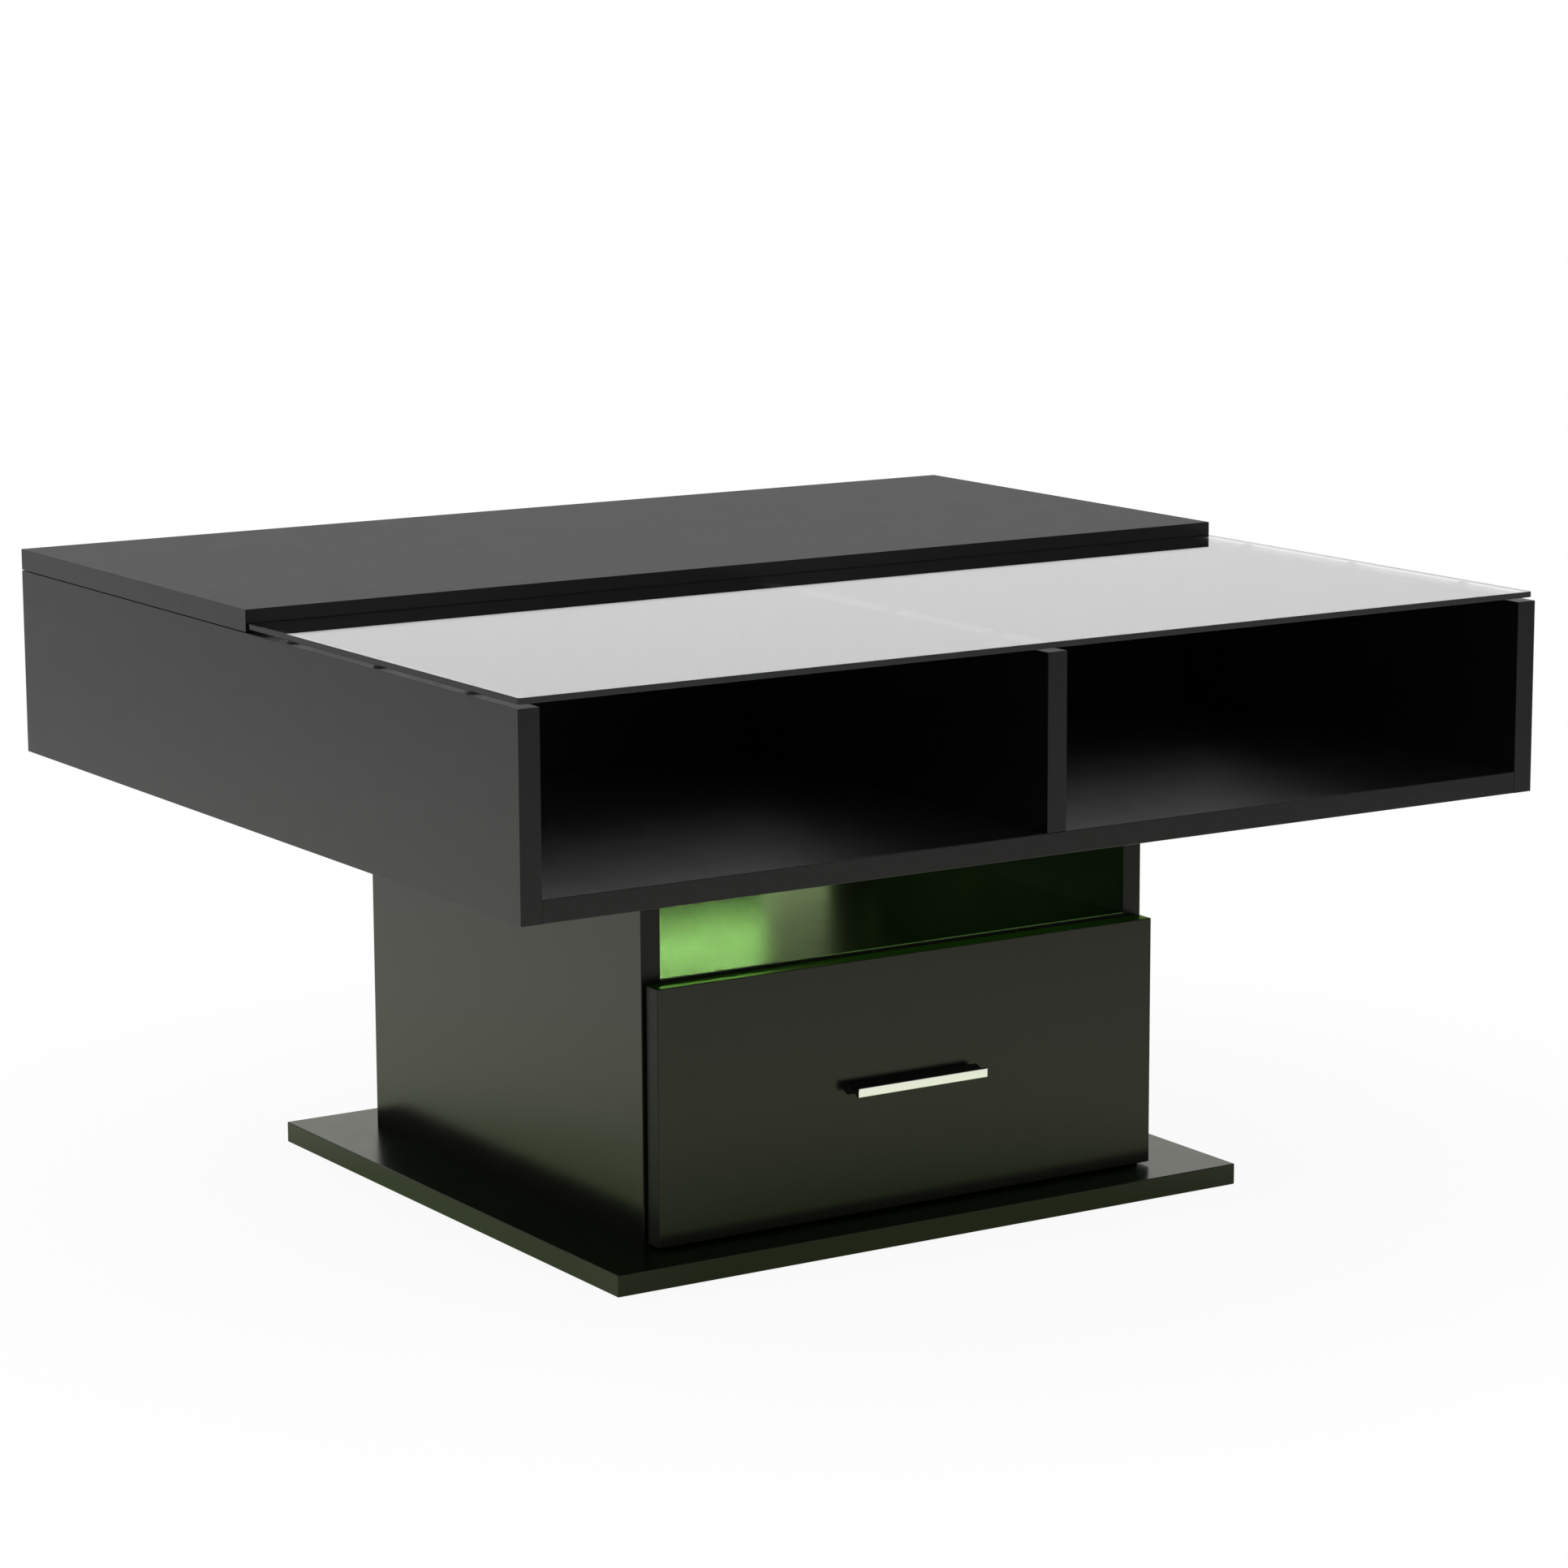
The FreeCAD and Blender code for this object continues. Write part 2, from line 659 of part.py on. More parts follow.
# Light strip on the niche's ceiling, with its connector beside the lead's notch
led_y = pedestal_back_front - led_setback
led_x = (-bay_half + led_end_gap, bay_half - cable_notch_width - led_end_gap)
strip_y = (led_y - led_strip_width / 2, led_y + led_strip_width / 2)
strip_low = cabinet_base - led_strip_thickness
led_strip = block(led_x, strip_y, (strip_low, cabinet_base))
led_count = int((led_x[1] - led_x[0]) // led_pitch)
led_first = sum(led_x) / 2 - led_pitch * (led_count - 1) / 2
led_chips = []
for n in range(led_count):
    x = led_first + n * led_pitch
    led_chips.append(
        block(
            (x - led_side / 2, x + led_side / 2),
            (led_y - led_side / 2, led_y + led_side / 2),
            (strip_low - led_height, strip_low),
        )
    )
led_connector = panel(
    (led_x[1], led_x[1] + led_connector_length),
    (led_y - led_connector_width / 2, led_y + led_connector_width / 2),
    (cabinet_base - led_connector_height, cabinet_base),
)

os.makedirs("parts", exist_ok=True)
for name, solid in boards.items():
    save(name, solid.cut(cuts[name]) if cuts[name] else solid)
save("base_glides", *glides)
save("base_screws", *base_screws)
save("dowels", *dowels)
save("cam_locks", *cam_locks)
save("cam_bolts", *cam_bolts)
save("glass_top", glass)
save("glass_bumpers", *bumpers)
save("lid_panel", lid)
save("lid_pads", *pads)
save("drawer_bottom", drawer_bottom)
save("drawer_dowels", *drawer_dowels)
save("drawer_cam_locks", *drawer_cam_locks)
save("drawer_cam_bolts", *drawer_cam_bolts)
save("drawer_handle", handle)
save("handle_screws", *handle_screws)
save("led_strip", led_strip)
save("led_chips", *led_chips)
save("led_connector", led_connector)
save("lift_cross_tube", cross_tube)
save("lift_base_pins", *base_pins, *[mirrored(pin) for pin in base_pins])
save("lid_pins", *lid_pins, *[mirrored(pin) for pin in lid_pins])
save("ball_cages", *cages, *[mirrored(strip) for strip in cages])
for node, solid in (
    ("lift_bracket", lift_bracket),
    ("lift_arm", lift_arm),
    ("lift_link", lift_link),
    ("lid_bracket", lid_bracket),
    ("runner_outer", runner_outer),
    ("runner_middle", runner_middle),
    ("runner_inner", runner_inner),
):
    save(node + "_left", solid)
    save(node + "_right", mirrored(solid))
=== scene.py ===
import json
import math

import bmesh
import bpy
from mathutils import Matrix, Vector


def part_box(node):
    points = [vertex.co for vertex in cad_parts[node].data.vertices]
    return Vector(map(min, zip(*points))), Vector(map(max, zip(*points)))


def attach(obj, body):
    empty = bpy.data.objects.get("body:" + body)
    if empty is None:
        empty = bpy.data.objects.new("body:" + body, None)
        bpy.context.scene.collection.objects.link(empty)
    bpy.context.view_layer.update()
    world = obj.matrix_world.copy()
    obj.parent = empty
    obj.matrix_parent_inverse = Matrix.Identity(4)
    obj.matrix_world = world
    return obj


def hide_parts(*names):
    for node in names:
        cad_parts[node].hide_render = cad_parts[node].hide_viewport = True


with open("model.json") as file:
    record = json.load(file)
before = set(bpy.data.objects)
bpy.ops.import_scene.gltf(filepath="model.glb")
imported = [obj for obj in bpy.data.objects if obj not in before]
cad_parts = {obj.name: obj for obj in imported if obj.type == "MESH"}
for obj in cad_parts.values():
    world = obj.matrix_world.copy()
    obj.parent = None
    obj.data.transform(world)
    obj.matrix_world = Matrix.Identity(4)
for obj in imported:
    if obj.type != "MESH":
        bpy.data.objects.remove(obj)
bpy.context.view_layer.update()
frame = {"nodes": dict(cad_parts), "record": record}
nodes = frame["nodes"]
bodyOf = {n: b for b, members in frame["record"]["behaviour"]["bodies"].items() for n in members}
scene = bpy.context.scene
scene.view_settings.view_transform = "Standard"

# lengths are metres; eased widths, turned outlines and cross recesses are given in millimetres
millimetre = 0.001
up, down = Vector((0, 0, 1)), Vector((0, 0, -1))


def addObject(name, data):
    thing = bpy.data.objects.new(name, data)
    scene.collection.objects.link(thing)
    return thing


def addNode(tree, kind, sockets=None, **settings):
    node = tree.nodes.new(kind)
    for name, value in settings.items():
        setattr(node, name, value)
    for name, value in (sockets or {}).items():
        node.inputs[name].default_value = value
    return node


def join(tree, source, output, target, entry):
    tree.links.new(source.outputs[output], target.inputs[entry])


def feed(tree, value, target, entry):
    # value is a number or a (node, output) pair
    if isinstance(value, tuple):
        join(tree, *value, target, entry)
    else:
        target.inputs[entry].default_value = value


def addMaths(tree, operation, *values):
    node = addNode(tree, "ShaderNodeMath", operation=operation)
    for entry, value in enumerate(values):
        feed(tree, value, node, entry)
    return node, 0


def addMix(tree, share, first, second):
    node = addNode(tree, "ShaderNodeMix")
    for entry, value in zip((0, 2, 3), (share, first, second)):  # the sockets that mix plain numbers
        feed(tree, value, node, entry)
    return node, 0


def addRange(tree, source, fromSpan, toSpan, curve="LINEAR"):
    node = addNode(tree, "ShaderNodeMapRange", interpolation_type=curve)
    for entry, value in zip(("From Min", "From Max", "To Min", "To Max"), (*fromSpan, *toSpan)):
        node.inputs[entry].default_value = value
    feed(tree, source, node, "Value")
    return node, "Result"


def addNoise(tree, source, scale, detail):
    node = addNode(tree, "ShaderNodeTexNoise", {"Scale": scale, "Detail": detail})
    feed(tree, source, node, "Vector")
    return node, "Fac"


# Camera: the photograph's stand point
cameraView = {
    "place": (-1.7594, -2.7901, 0.8929),
    "yaw": -32.544,
    "pitch": -10.49,
    "roll": -0.259,
    "lens": 108.37,
    "sensor": 36.0,
}


def makeCamera(view):
    data = bpy.data.cameras.new("camera")
    data.sensor_width = view["sensor"]
    data.lens = view["lens"]
    camera = addObject("camera", data)
    turn = Matrix.Rotation(math.radians(view["yaw"]), 4, "Z")
    tilt = Matrix.Rotation(math.radians(90 + view["pitch"]), 4, "X")
    lean = Matrix.Rotation(math.radians(view["roll"]), 4, "Z")
    camera.matrix_world = Matrix.Translation(view["place"]) @ turn @ tilt @ lean
    scene.camera = camera


# Studio: white sweep behind and to the left, dimmer room towards the front right
studio = {
    "ambient": 0.55,  # what plain diffuse surfaces get from the room
    "skyBack": 1.0,
    "skyFront": 0.32,
    "skyTurn": (-0.45, 0.35),  # where the sky goes from front to back, as a share of +Y
    "skyTop": 0.5,  # overhead, as a share of the sky round the room
    "skyRise": (0.3, 0.8),
    "skyLeft": 0.05,  # the dark end of the room, as a share again
    "leftTurn": (-0.45, 0.1),
    "leftRise": (0.3, 0.6),  # above this height the dark end lets go
    "floorHalf": 7.0,
    "floorColour": (0.86, 0.86, 0.86, 1),
    "floorWhite": 0.93,  # share of the floor that stays plain white to the camera, near the table
    "whiteSpan": (0.35, 0.95),
    "shadeAndGreenReach": 2.5,  # how far the painted shade of the table and the painted green of the strip reach on the floor, in reflections
    "shadeAndGreenSteps": (
        (0.12, (0.38, 0.49, 0.27, 1)),
        (0.20, (0.89, 0.93, 0.76, 1)),
        (0.30, (0.97, 1.00, 0.88, 1)),
        (0.50, (0.97, 0.99, 0.94, 1)),
        (0.70, (0.88, 0.88, 0.86, 1)),
        (0.95, (0.74, 0.74, 0.74, 1)),
    ),
    "fadeAlong": (-0.5, 0.85, 0.0),
    "fadeSpan": (-2.9, -0.4),
    "fadeLow": 0.32,
    "keyPlace": (-1.7, 1.2, 2.7),
    "keySize": 2.4,
    "keyPower": 42.0,
    "fillPlace": (1.6, -2.4, 2.2),
    "fillSize": 2.0,
    "fillPower": 14.0,
    "aim": (0.0, 0.0, 0.25),
}
white = (1, 1, 1, 1)
firstHit = 0.5  # fewer bounces than this is none


def makeWorld(look):
    world = bpy.data.worlds.new("studio")
    world.use_nodes = True
    scene.world = world
    tree = world.node_tree
    background = tree.nodes["Background"]
    background.inputs["Color"].default_value = white
    path = addNode(tree, "ShaderNodeLightPath")
    coords = addNode(tree, "ShaderNodeTexCoord")
    axes = addNode(tree, "ShaderNodeSeparateXYZ")
    join(tree, coords, "Generated", axes, "Vector")
    fade = addRange(tree, (axes, "Y"), look["skyTurn"], (look["skyFront"], look["skyBack"]), "SMOOTHSTEP")
    rise = addRange(tree, (axes, "Z"), look["skyRise"], (1.0, look["skyTop"]), "SMOOTHSTEP")
    left = addRange(tree, (axes, "X"), look["leftTurn"], (look["skyLeft"], 1.0), "SMOOTHSTEP")
    lift = addRange(tree, (axes, "Z"), look["leftRise"], (0.0, 1.0), "SMOOTHSTEP")
    around = addMaths(tree, "MULTIPLY", fade, addMix(tree, lift, left, 1.0))
    sky = addMaths(tree, "MULTIPLY", around, rise)
    bounced = addMaths(tree, "ADD", (path, "Glossy Depth"), (path, "Diffuse Depth"))
    straight = addMaths(tree, "LESS_THAN", bounced, firstHit)
    through = addMaths(tree, "MULTIPLY", (path, "Is Transmission Ray"), straight)
    seen = addMaths(tree, "MAXIMUM", (path, "Is Camera Ray"), through)
    mirrored = addMaths(tree, "MAXIMUM", (path, "Is Glossy Ray"), (path, "Is Transmission Ray"))
    shine = addMix(tree, mirrored, look["ambient"], sky)
    feed(tree, addMix(tree, seen, shine, 1.0), background, "Strength")


def makeFloor(look):
    half = look["floorHalf"]
    corners = [(-half, -half, 0), (half, -half, 0), (half, half, 0), (-half, half, 0)]
    mesh = bpy.data.meshes.new("floor")
    mesh.from_pydata(corners, [], [(0, 1, 2, 3)])
    paint = bpy.data.materials.new("paleFloor")
    paint.use_nodes = True
    tree = paint.node_tree
    tree.nodes.remove(tree.nodes["Principled BSDF"])
    plain = addNode(tree, "ShaderNodeBsdfDiffuse", {"Color": look["floorColour"]})
    glow = addNode(tree, "ShaderNodeEmission")
    path = addNode(tree, "ShaderNodeLightPath")
    coords = addNode(tree, "ShaderNodeTexCoord")
    along = addNode(tree, "ShaderNodeVectorMath", {1: look["fadeAlong"]}, operation="DOT_PRODUCT")
    join(tree, coords, "Object", along, 0)
    distance = addNode(tree, "ShaderNodeVectorMath", operation="LENGTH")
    join(tree, coords, "Object", distance, 0)
    # plain white to the camera; in reflections the fade, and the ramp's painted shade of the table and
    # painted green of the strip
    fade = addRange(tree, (along, "Value"), look["fadeSpan"], (look["fadeLow"], 1.0))
    feed(tree, addMix(tree, (path, "Is Glossy Ray"), 1.0, fade), glow, "Strength")
    # a ramp of painted shade and painted green light on the floor, seen only in reflections
    tint = addNode(tree, "ShaderNodeValToRGB")
    steps = tint.color_ramp.elements
    for position, tone in look["shadeAndGreenSteps"]:
        steps.new(position).color = tone
    steps[0].color = look["shadeAndGreenSteps"][0][1]
    steps[len(steps) - 1].color = look["shadeAndGreenSteps"][-1][1]
    feed(tree, addMaths(tree, "DIVIDE", (distance, "Value"), look["shadeAndGreenReach"]), tint, "Fac")
    colour = addNode(tree, "ShaderNodeMix", {6: white}, data_type="RGBA")  # 6, 7 and 2: its colour sockets
    join(tree, path, "Is Glossy Ray", colour, 0)
    join(tree, tint, "Color", colour, 7)
    join(tree, colour, 2, glow, "Color")
    bright = addRange(tree, (distance, "Value"), look["whiteSpan"], (look["floorWhite"], 1.0), "SMOOTHSTEP")
    direct = addMaths(tree, "MAXIMUM", (path, "Is Camera Ray"), (path, "Is Transmission Ray"))
    seen = addMaths(tree, "MULTIPLY", direct, bright)
    mix = addNode(tree, "ShaderNodeMixShader")
    feed(tree, addMaths(tree, "MAXIMUM", seen, (path, "Is Glossy Ray")), mix, 0)
    join(tree, plain, 0, mix, 1)
    join(tree, glow, 0, mix, 2)
    join(tree, mix, 0, tree.nodes["Material Output"], "Surface")
    mesh.materials.append(paint)
    addObject("floor", mesh)


def makeLamp(name, spot, size, power, colour=(1, 1, 1), aim=None):
    data = bpy.data.lights.new(name, "AREA")
    data.shape = "RECTANGLE"
    data.size, data.size_y = size
    data.energy = power
    data.color = colour
    lamp = addObject(name, data)
    lamp.location = spot
    if aim:  # without an aim it shines straight down
        lamp.rotation_euler = (Vector(aim) - Vector(spot)).to_track_quat("-Z", "Y").to_euler()
    return lamp


makeCamera(cameraView)
makeWorld(studio)
makeFloor(studio)
for name in ("key", "fill"):
    side = studio[name + "Size"]
    lamp = makeLamp(name, studio[name + "Place"], (side, side), studio[name + "Power"], aim=studio["aim"])
    lamp.visible_glossy = False  # the sweep gives the reflections
    lamp.visible_transmission = False
print("camera and studio ready")


# Finishes: each has its shader's fixed values, then what varies over the surface
laminate = {"slot": "black_laminate", "toneScale": 420.0, "roughScale": 40.0, "bumpScale": 1900.0}
lipping = {"slot": "black_laminate", "toneScale": 260.0, "roughScale": 60.0, "bumpScale": 1400.0}
metal = {"Metallic": 1.0}
grain = {
    "toneDetail": 3.0,
    "toneSpan": (0.35, 0.65),  # the stretch of the noise that goes from one end of a range to the other
    "roughDetail": 4.0,
    "roughSpan": (0.3, 0.7),
    "smudgeSpan": (0.35, 0.75),
    "bumpDetail": 2.0,
}


def paintedReflectionTint(rough, tint):
    # a clear coat whose tint paints colour into what the laminate mirrors: a painted reflection colour
    return {"Coat Weight": 1.0, "Coat Roughness": rough, "Coat IOR": 1.01, "Coat Tint": (*tint, 1)}


finishLooks = {
    "boardBlack": {
        **laminate,
        "shader": {"IOR": 1.45},
        "tones": ((0.0024, 0.0024, 0.0025), (0.0040, 0.0040, 0.0040)),
        "rough": (0.28, 0.31),
        "bumpDepth": 0.000005,
    },
    # the same black laminate, its tone raised above the other boards': painted light on the lid
    "lidBlack": {
        **laminate,
        "shader": {"IOR": 1.49},
        "tones": ((0.021, 0.021, 0.021), (0.026, 0.026, 0.026)),
        "rough": (0.572, 0.588),
        "bumpDepth": 0.000008,
    },
    # olive tones and olive specular tint: painted green light from the strip on the pedestal, the drawer
    # front and the base plate's edges
    "pedestalBlack": {
        **laminate,
        "shader": {"IOR": 1.43, "Specular Tint": (1.0, 1.0, 0.82, 1)},
        "tones": ((0.0026, 0.0028, 0.0022), (0.0042, 0.0044, 0.0036)),
        "rough": (0.19, 0.22),
        "bumpDepth": 0.000004,
    },
    # green tones: painted green light from the strip on the base plate; its coat paints a warm tint into
    # its reflections
    "baseBlack": {
        **laminate,
        "shader": {"IOR": 1.38, "Specular Tint": (1.0, 1.0, 0.94, 1), **paintedReflectionTint(0.25, (0.975, 0.98, 0.955))},
        "tones": ((0.0008, 0.0046, 0.0003), (0.0016, 0.0068, 0.0008)),
        "rough": (0.24, 0.27),
        "bumpDepth": 0.000004,
    },
    # green tones: painted green light from the strip on the niche's back
    "nicheBlack": {
        **laminate,
        "shader": {"IOR": 1.42},
        "tones": ((0.0006, 0.0012, 0.0004), (0.0020, 0.0038, 0.0013)),
        "toneScale": 520.0,
        "rough": (0.24, 0.27),
        "bumpScale": 900.0,
        "bumpDepth": 0.000012,
    },
    # green tones: painted green light from the strip on the niche's floor; its coat paints a warm tint into
    # the floor's reflections
    "nicheFloor": {
        **laminate,
        "shader": {"IOR": 1.55, **paintedReflectionTint(0.25, (0.93, 1.0, 0.82))},
        "tones": ((0.0004, 0.0009, 0.0003), (0.0014, 0.0030, 0.0009)),
        "toneScale": 520.0,
        "rough": (0.23, 0.26),
        "bumpScale": 900.0,
        "bumpDepth": 0.000012,
    },
    # green tones: painted green light from the strip on the niche's side walls
    "nicheWall": {
        **laminate,
        "shader": {"IOR": 1.26},
        "tones": ((0.0010, 0.0015, 0.0006), (0.0018, 0.0026, 0.0010)),
        "rough": (0.5, 0.56),
        "bumpScale": 1300.0,
        "bumpDepth": 0.000008,
    },
    "edgeBlack": {
        **lipping,
        "shader": {"IOR": 1.45},
        "tones": ((0.0045, 0.0045, 0.0045), (0.0065, 0.0065, 0.0065)),
        "rough": (0.36, 0.42),
        "bumpDepth": 0.000006,
    },
    "lidEdge": {
        **lipping,
        "shader": {"IOR": 1.46},
        "tones": ((0.0016, 0.0016, 0.0016), (0.0028, 0.0028, 0.0028)),
        "rough": (0.28, 0.31),
        "bumpDepth": 0.000006,
    },
    # olive tones and olive specular tint: painted green light from the strip on the pedestal's edges
    "pedestalEdge": {
        **lipping,
        "shader": {"IOR": 1.36, "Specular Tint": (1.0, 1.0, 0.9, 1)},
        "tones": ((0.0026, 0.0028, 0.0022), (0.0042, 0.0044, 0.0036)),
        "rough": (0.34, 0.40),
        "bumpDepth": 0.000005,
    },
    # a bright tan-green tone on the niche floor's front arris: a painted highlight line
    "nicheArris": {
        **lipping,
        "shader": {"IOR": 1.45},
        "tones": ((0.11, 0.13, 0.06), (0.16, 0.18, 0.09)),
        "toneScale": 90.0,
        "rough": (0.36, 0.42),
        "bumpDepth": 0.000006,
    },
    "drawerEdge": {
        **lipping,
        "shader": {"IOR": 1.2},
        "tones": ((0.012, 0.013, 0.010), (0.018, 0.019, 0.015)),
        "rough": (0.29, 0.33),
        "bumpDepth": 0.000003,
    },
    # a lighter tone and a green-yellow reflection tint on the drawer front's top face: painted light from
    # the niche
    "drawerTop": {
        **lipping,
        "shader": {"IOR": 1.2, **paintedReflectionTint(0.3, (0.88, 1.0, 0.70))},
        "tones": ((0.0136, 0.0130, 0.0143), (0.0205, 0.0190, 0.0214)),
        "rough": (0.29, 0.33),
        "bumpDepth": 0.000003,
    },
    "hardboardBlack": {
        "slot": "black_hardboard",
        "shader": {"IOR": 1.42},
        "tones": ((0.008, 0.008, 0.008), (0.014, 0.014, 0.013)),
        "toneScale": 300.0,
        "rough": (0.48, 0.6),
        "roughScale": 20.0,
        "bumpScale": 900.0,
        "bumpDepth": 0.00004,
    },
    "feltBlack": {
        "slot": "black_felt",
        "shader": {"IOR": 1.3, "Sheen Weight": 0.3},
        "tones": ((0.008, 0.008, 0.008), (0.026, 0.026, 0.025)),
        "toneScale": 1600.0,
        "rough": (0.9, 1.0),
        "roughScale": 200.0,
        "bumpScale": 2600.0,
        "bumpDepth": 0.0002,
    },
    "plasticBlack": {
        "slot": "black_plastic",
        "shader": {"IOR": 1.46},
        "tones": ((0.010, 0.010, 0.010), (0.016, 0.016, 0.016)),
        "toneScale": 500.0,
        "rough": (0.38, 0.5),
        "roughScale": 90.0,
        "bumpScale": 2400.0,
        "bumpDepth": 0.00002,
    },
    "stripWhite": {
        "slot": "white_strip",
        "shader": {"IOR": 1.48},
        "tones": ((0.70, 0.71, 0.70), (0.80, 0.80, 0.79)),
        "toneScale": 240.0,
        "rough": (0.32, 0.45),
        "roughScale": 120.0,
        "bumpScale": 900.0,
        "bumpDepth": 0.00002,
    },
    "aluminiumBright": {
        "slot": "polished_aluminium",
        "shader": metal,
        "tones": ((0.88, 0.89, 0.86), (0.93, 0.935, 0.91)),
        "toneScale": 60.0,
        "rough": (0.10, 0.17),
        "roughScale": 90.0,
        "bumpScale": 700.0,
        "bumpDepth": 0.000004,
        "stretch": (0.05, 1.0, 1.0),
    },
    "lacquerBlack": {
        "slot": "polished_aluminium",
        "shader": {"IOR": 1.48},
        "tones": ((0.006, 0.006, 0.006), (0.009, 0.009, 0.009)),
        "toneScale": 300.0,
        "rough": (0.29, 0.38),
        "roughScale": 80.0,
        "bumpScale": 1500.0,
        "bumpDepth": 0.000008,
    },
    "beechPlain": {
        "slot": "beech",
        "shader": {"IOR": 1.46},
        "tones": ((0.50, 0.32, 0.17), (0.66, 0.46, 0.27)),
        "toneScale": 220.0,
        "rough": (0.55, 0.7),
        "roughScale": 300.0,
        "bumpScale": 800.0,
        "bumpDepth": 0.00005,
    },
    "zincBright": {
        "slot": "zinc_steel",
        "shader": metal,
        "tones": ((0.50, 0.51, 0.53), (0.66, 0.67, 0.68)),
        "toneScale": 150.0,
        "rough": (0.28, 0.42),
        "roughScale": 180.0,
        "bumpScale": 1200.0,
        "bumpDepth": 0.00002,
    },
    "runnerZinc": {
        "slot": "runner_steel",
        "shader": metal,
        "tones": ((0.46, 0.47, 0.49), (0.60, 0.62, 0.65)),
        "toneScale": 70.0,
        "rough": (0.28, 0.38),
        "roughScale": 60.0,
        "bumpScale": 600.0,
        "bumpDepth": 0.000015,
        "stretch": (1.0, 0.06, 1.0),
    },
    "padCopper": {
        "slot": "white_strip",
        "shader": metal,
        "tones": ((0.80, 0.56, 0.34), (0.90, 0.68, 0.44)),
        "toneScale": 900.0,
        "rough": (0.28, 0.38),
        "roughScale": 400.0,
        "bumpScale": 2400.0,
        "bumpDepth": 0.00001,
    },
    "steelBlack": {
        "slot": "black_steel",
        "shader": {"IOR": 1.47},
        "tones": ((0.009, 0.009, 0.010), (0.015, 0.015, 0.016)),
        "toneScale": 350.0,
        "rough": (0.38, 0.5),
        "roughScale": 60.0,
        "bumpScale": 1100.0,
        "bumpDepth": 0.00006,
    },
}
clearLooks = {
    "glassClear": {
        "slot": "clear_glass",
        "shader": {"IOR": 1.52, "Base Color": (0.965, 0.985, 0.975, 1), "Transmission Weight": 1.0},
        "rough": (0.005, 0.012),
        "smudges": 9.0,
    },
    "glassRim": {
        "slot": "clear_glass",
        "shader": {"IOR": 1.2, "Base Color": (0.13, 0.136, 0.133, 1), "Transmission Weight": 0.7},
        "rough": (0.02, 0.05),
        "smudges": 120.0,
    },
    # near black rear rim: painted shade, so the seam between the glass and the lid reads as a dark line
    "glassRear": {
        "slot": "clear_glass",
        "shader": {"IOR": 1.04, "Base Color": (0.03, 0.036, 0.033, 1), "Transmission Weight": 1.0},
        "rough": (0.10, 0.16),
        "smudges": 120.0,
    },
    "bumperClear": {
        "slot": "clear_bumper",
        "shader": {"IOR": 1.44, "Base Color": (0.90, 0.91, 0.91, 1), "Transmission Weight": 0.94},
        "rough": (0.03, 0.07),
        "smudges": 260.0,
    },
}
lampLooks = {
    "lampGreen": {
        "slot": "lamp_lens",
        "shader": {"Base Color": (0.62, 0.74, 0.5, 1), "Emission Color": (0.3, 1.0, 0.12, 1)},
        "glow": (2.4, 3.0),
        "glowScale": 900.0,
        "glowDetail": 2.0,
        "glowSpan": (0.2, 0.8),
    },
}


def newPaint(name, look):
    paint = bpy.data.materials.new(name)
    paint.use_nodes = True
    tree = paint.node_tree
    shader = tree.nodes["Principled BSDF"]
    for entry, value in look["shader"].items():
        shader.inputs[entry].default_value = value
    coords = addNode(tree, "ShaderNodeTexCoord")
    return paint, tree, shader, (coords, "Object")


def makeFinish(name, look):
    paint, tree, shader, coords = newPaint(name, look)
    mapping = addNode(tree, "ShaderNodeMapping", {"Scale": look.get("stretch", (1, 1, 1))})
    feed(tree, coords, mapping, "Vector")
    spots = (mapping, "Vector")
    tones = addNode(tree, "ShaderNodeValToRGB")
    for step, position, tone in zip(tones.color_ramp.elements, grain["toneSpan"], look["tones"]):
        step.position = position
        step.color = (*tone, 1)
    feed(tree, addNoise(tree, spots, look["toneScale"], grain["toneDetail"]), tones, "Fac")
    join(tree, tones, "Color", shader, "Base Color")
    clouds = addNoise(tree, spots, look["roughScale"], grain["roughDetail"])
    feed(tree, addRange(tree, clouds, grain["roughSpan"], look["rough"]), shader, "Roughness")
    bump = addNode(tree, "ShaderNodeBump", {"Strength": 1.0, "Distance": look["bumpDepth"]})
    feed(tree, addNoise(tree, spots, look["bumpScale"], grain["bumpDetail"]), bump, "Height")
    join(tree, bump, "Normal", shader, "Normal")
    return paint


def makeClear(name, look):
    paint, tree, shader, coords = newPaint(name, look)
    clouds = addNoise(tree, coords, look["smudges"], grain["roughDetail"])
    feed(tree, addRange(tree, clouds, grain["smudgeSpan"], look["rough"]), shader, "Roughness")
    return paint


def makeLampLens(name, look):
    paint, tree, shader, coords = newPaint(name, look)
    clouds = addNoise(tree, coords, look["glowScale"], look["glowDetail"])
    feed(tree, addRange(tree, clouds, look["glowSpan"], look["glow"]), shader, "Emission Strength")
    return paint


finishes, slotOf = {}, {}
for maker, looks in ((makeFinish, finishLooks), (makeClear, clearLooks), (makeLampLens, lampLooks)):
    for name, look in looks.items():
        finishes[name] = maker(name, look)
        slotOf[name] = look["slot"]
print("finishes ready:", len(finishes))


# Meshes: what every piece is made with
weld = {"node": 0.01 * millimetre, "cut": 0.001 * millimetre}  # corners this close are one


def place(name, mesh, body, finish, *stoodFor):
    # a finished mesh becomes a piece that rides on a body and may stand for CAD nodes
    piece = addObject(name, mesh)
    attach(piece, body)
    if stoodFor:
        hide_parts(*stoodFor)


def paintMesh(mesh, *names):
    for name in names:
        mesh.materials.append(finishes[name])


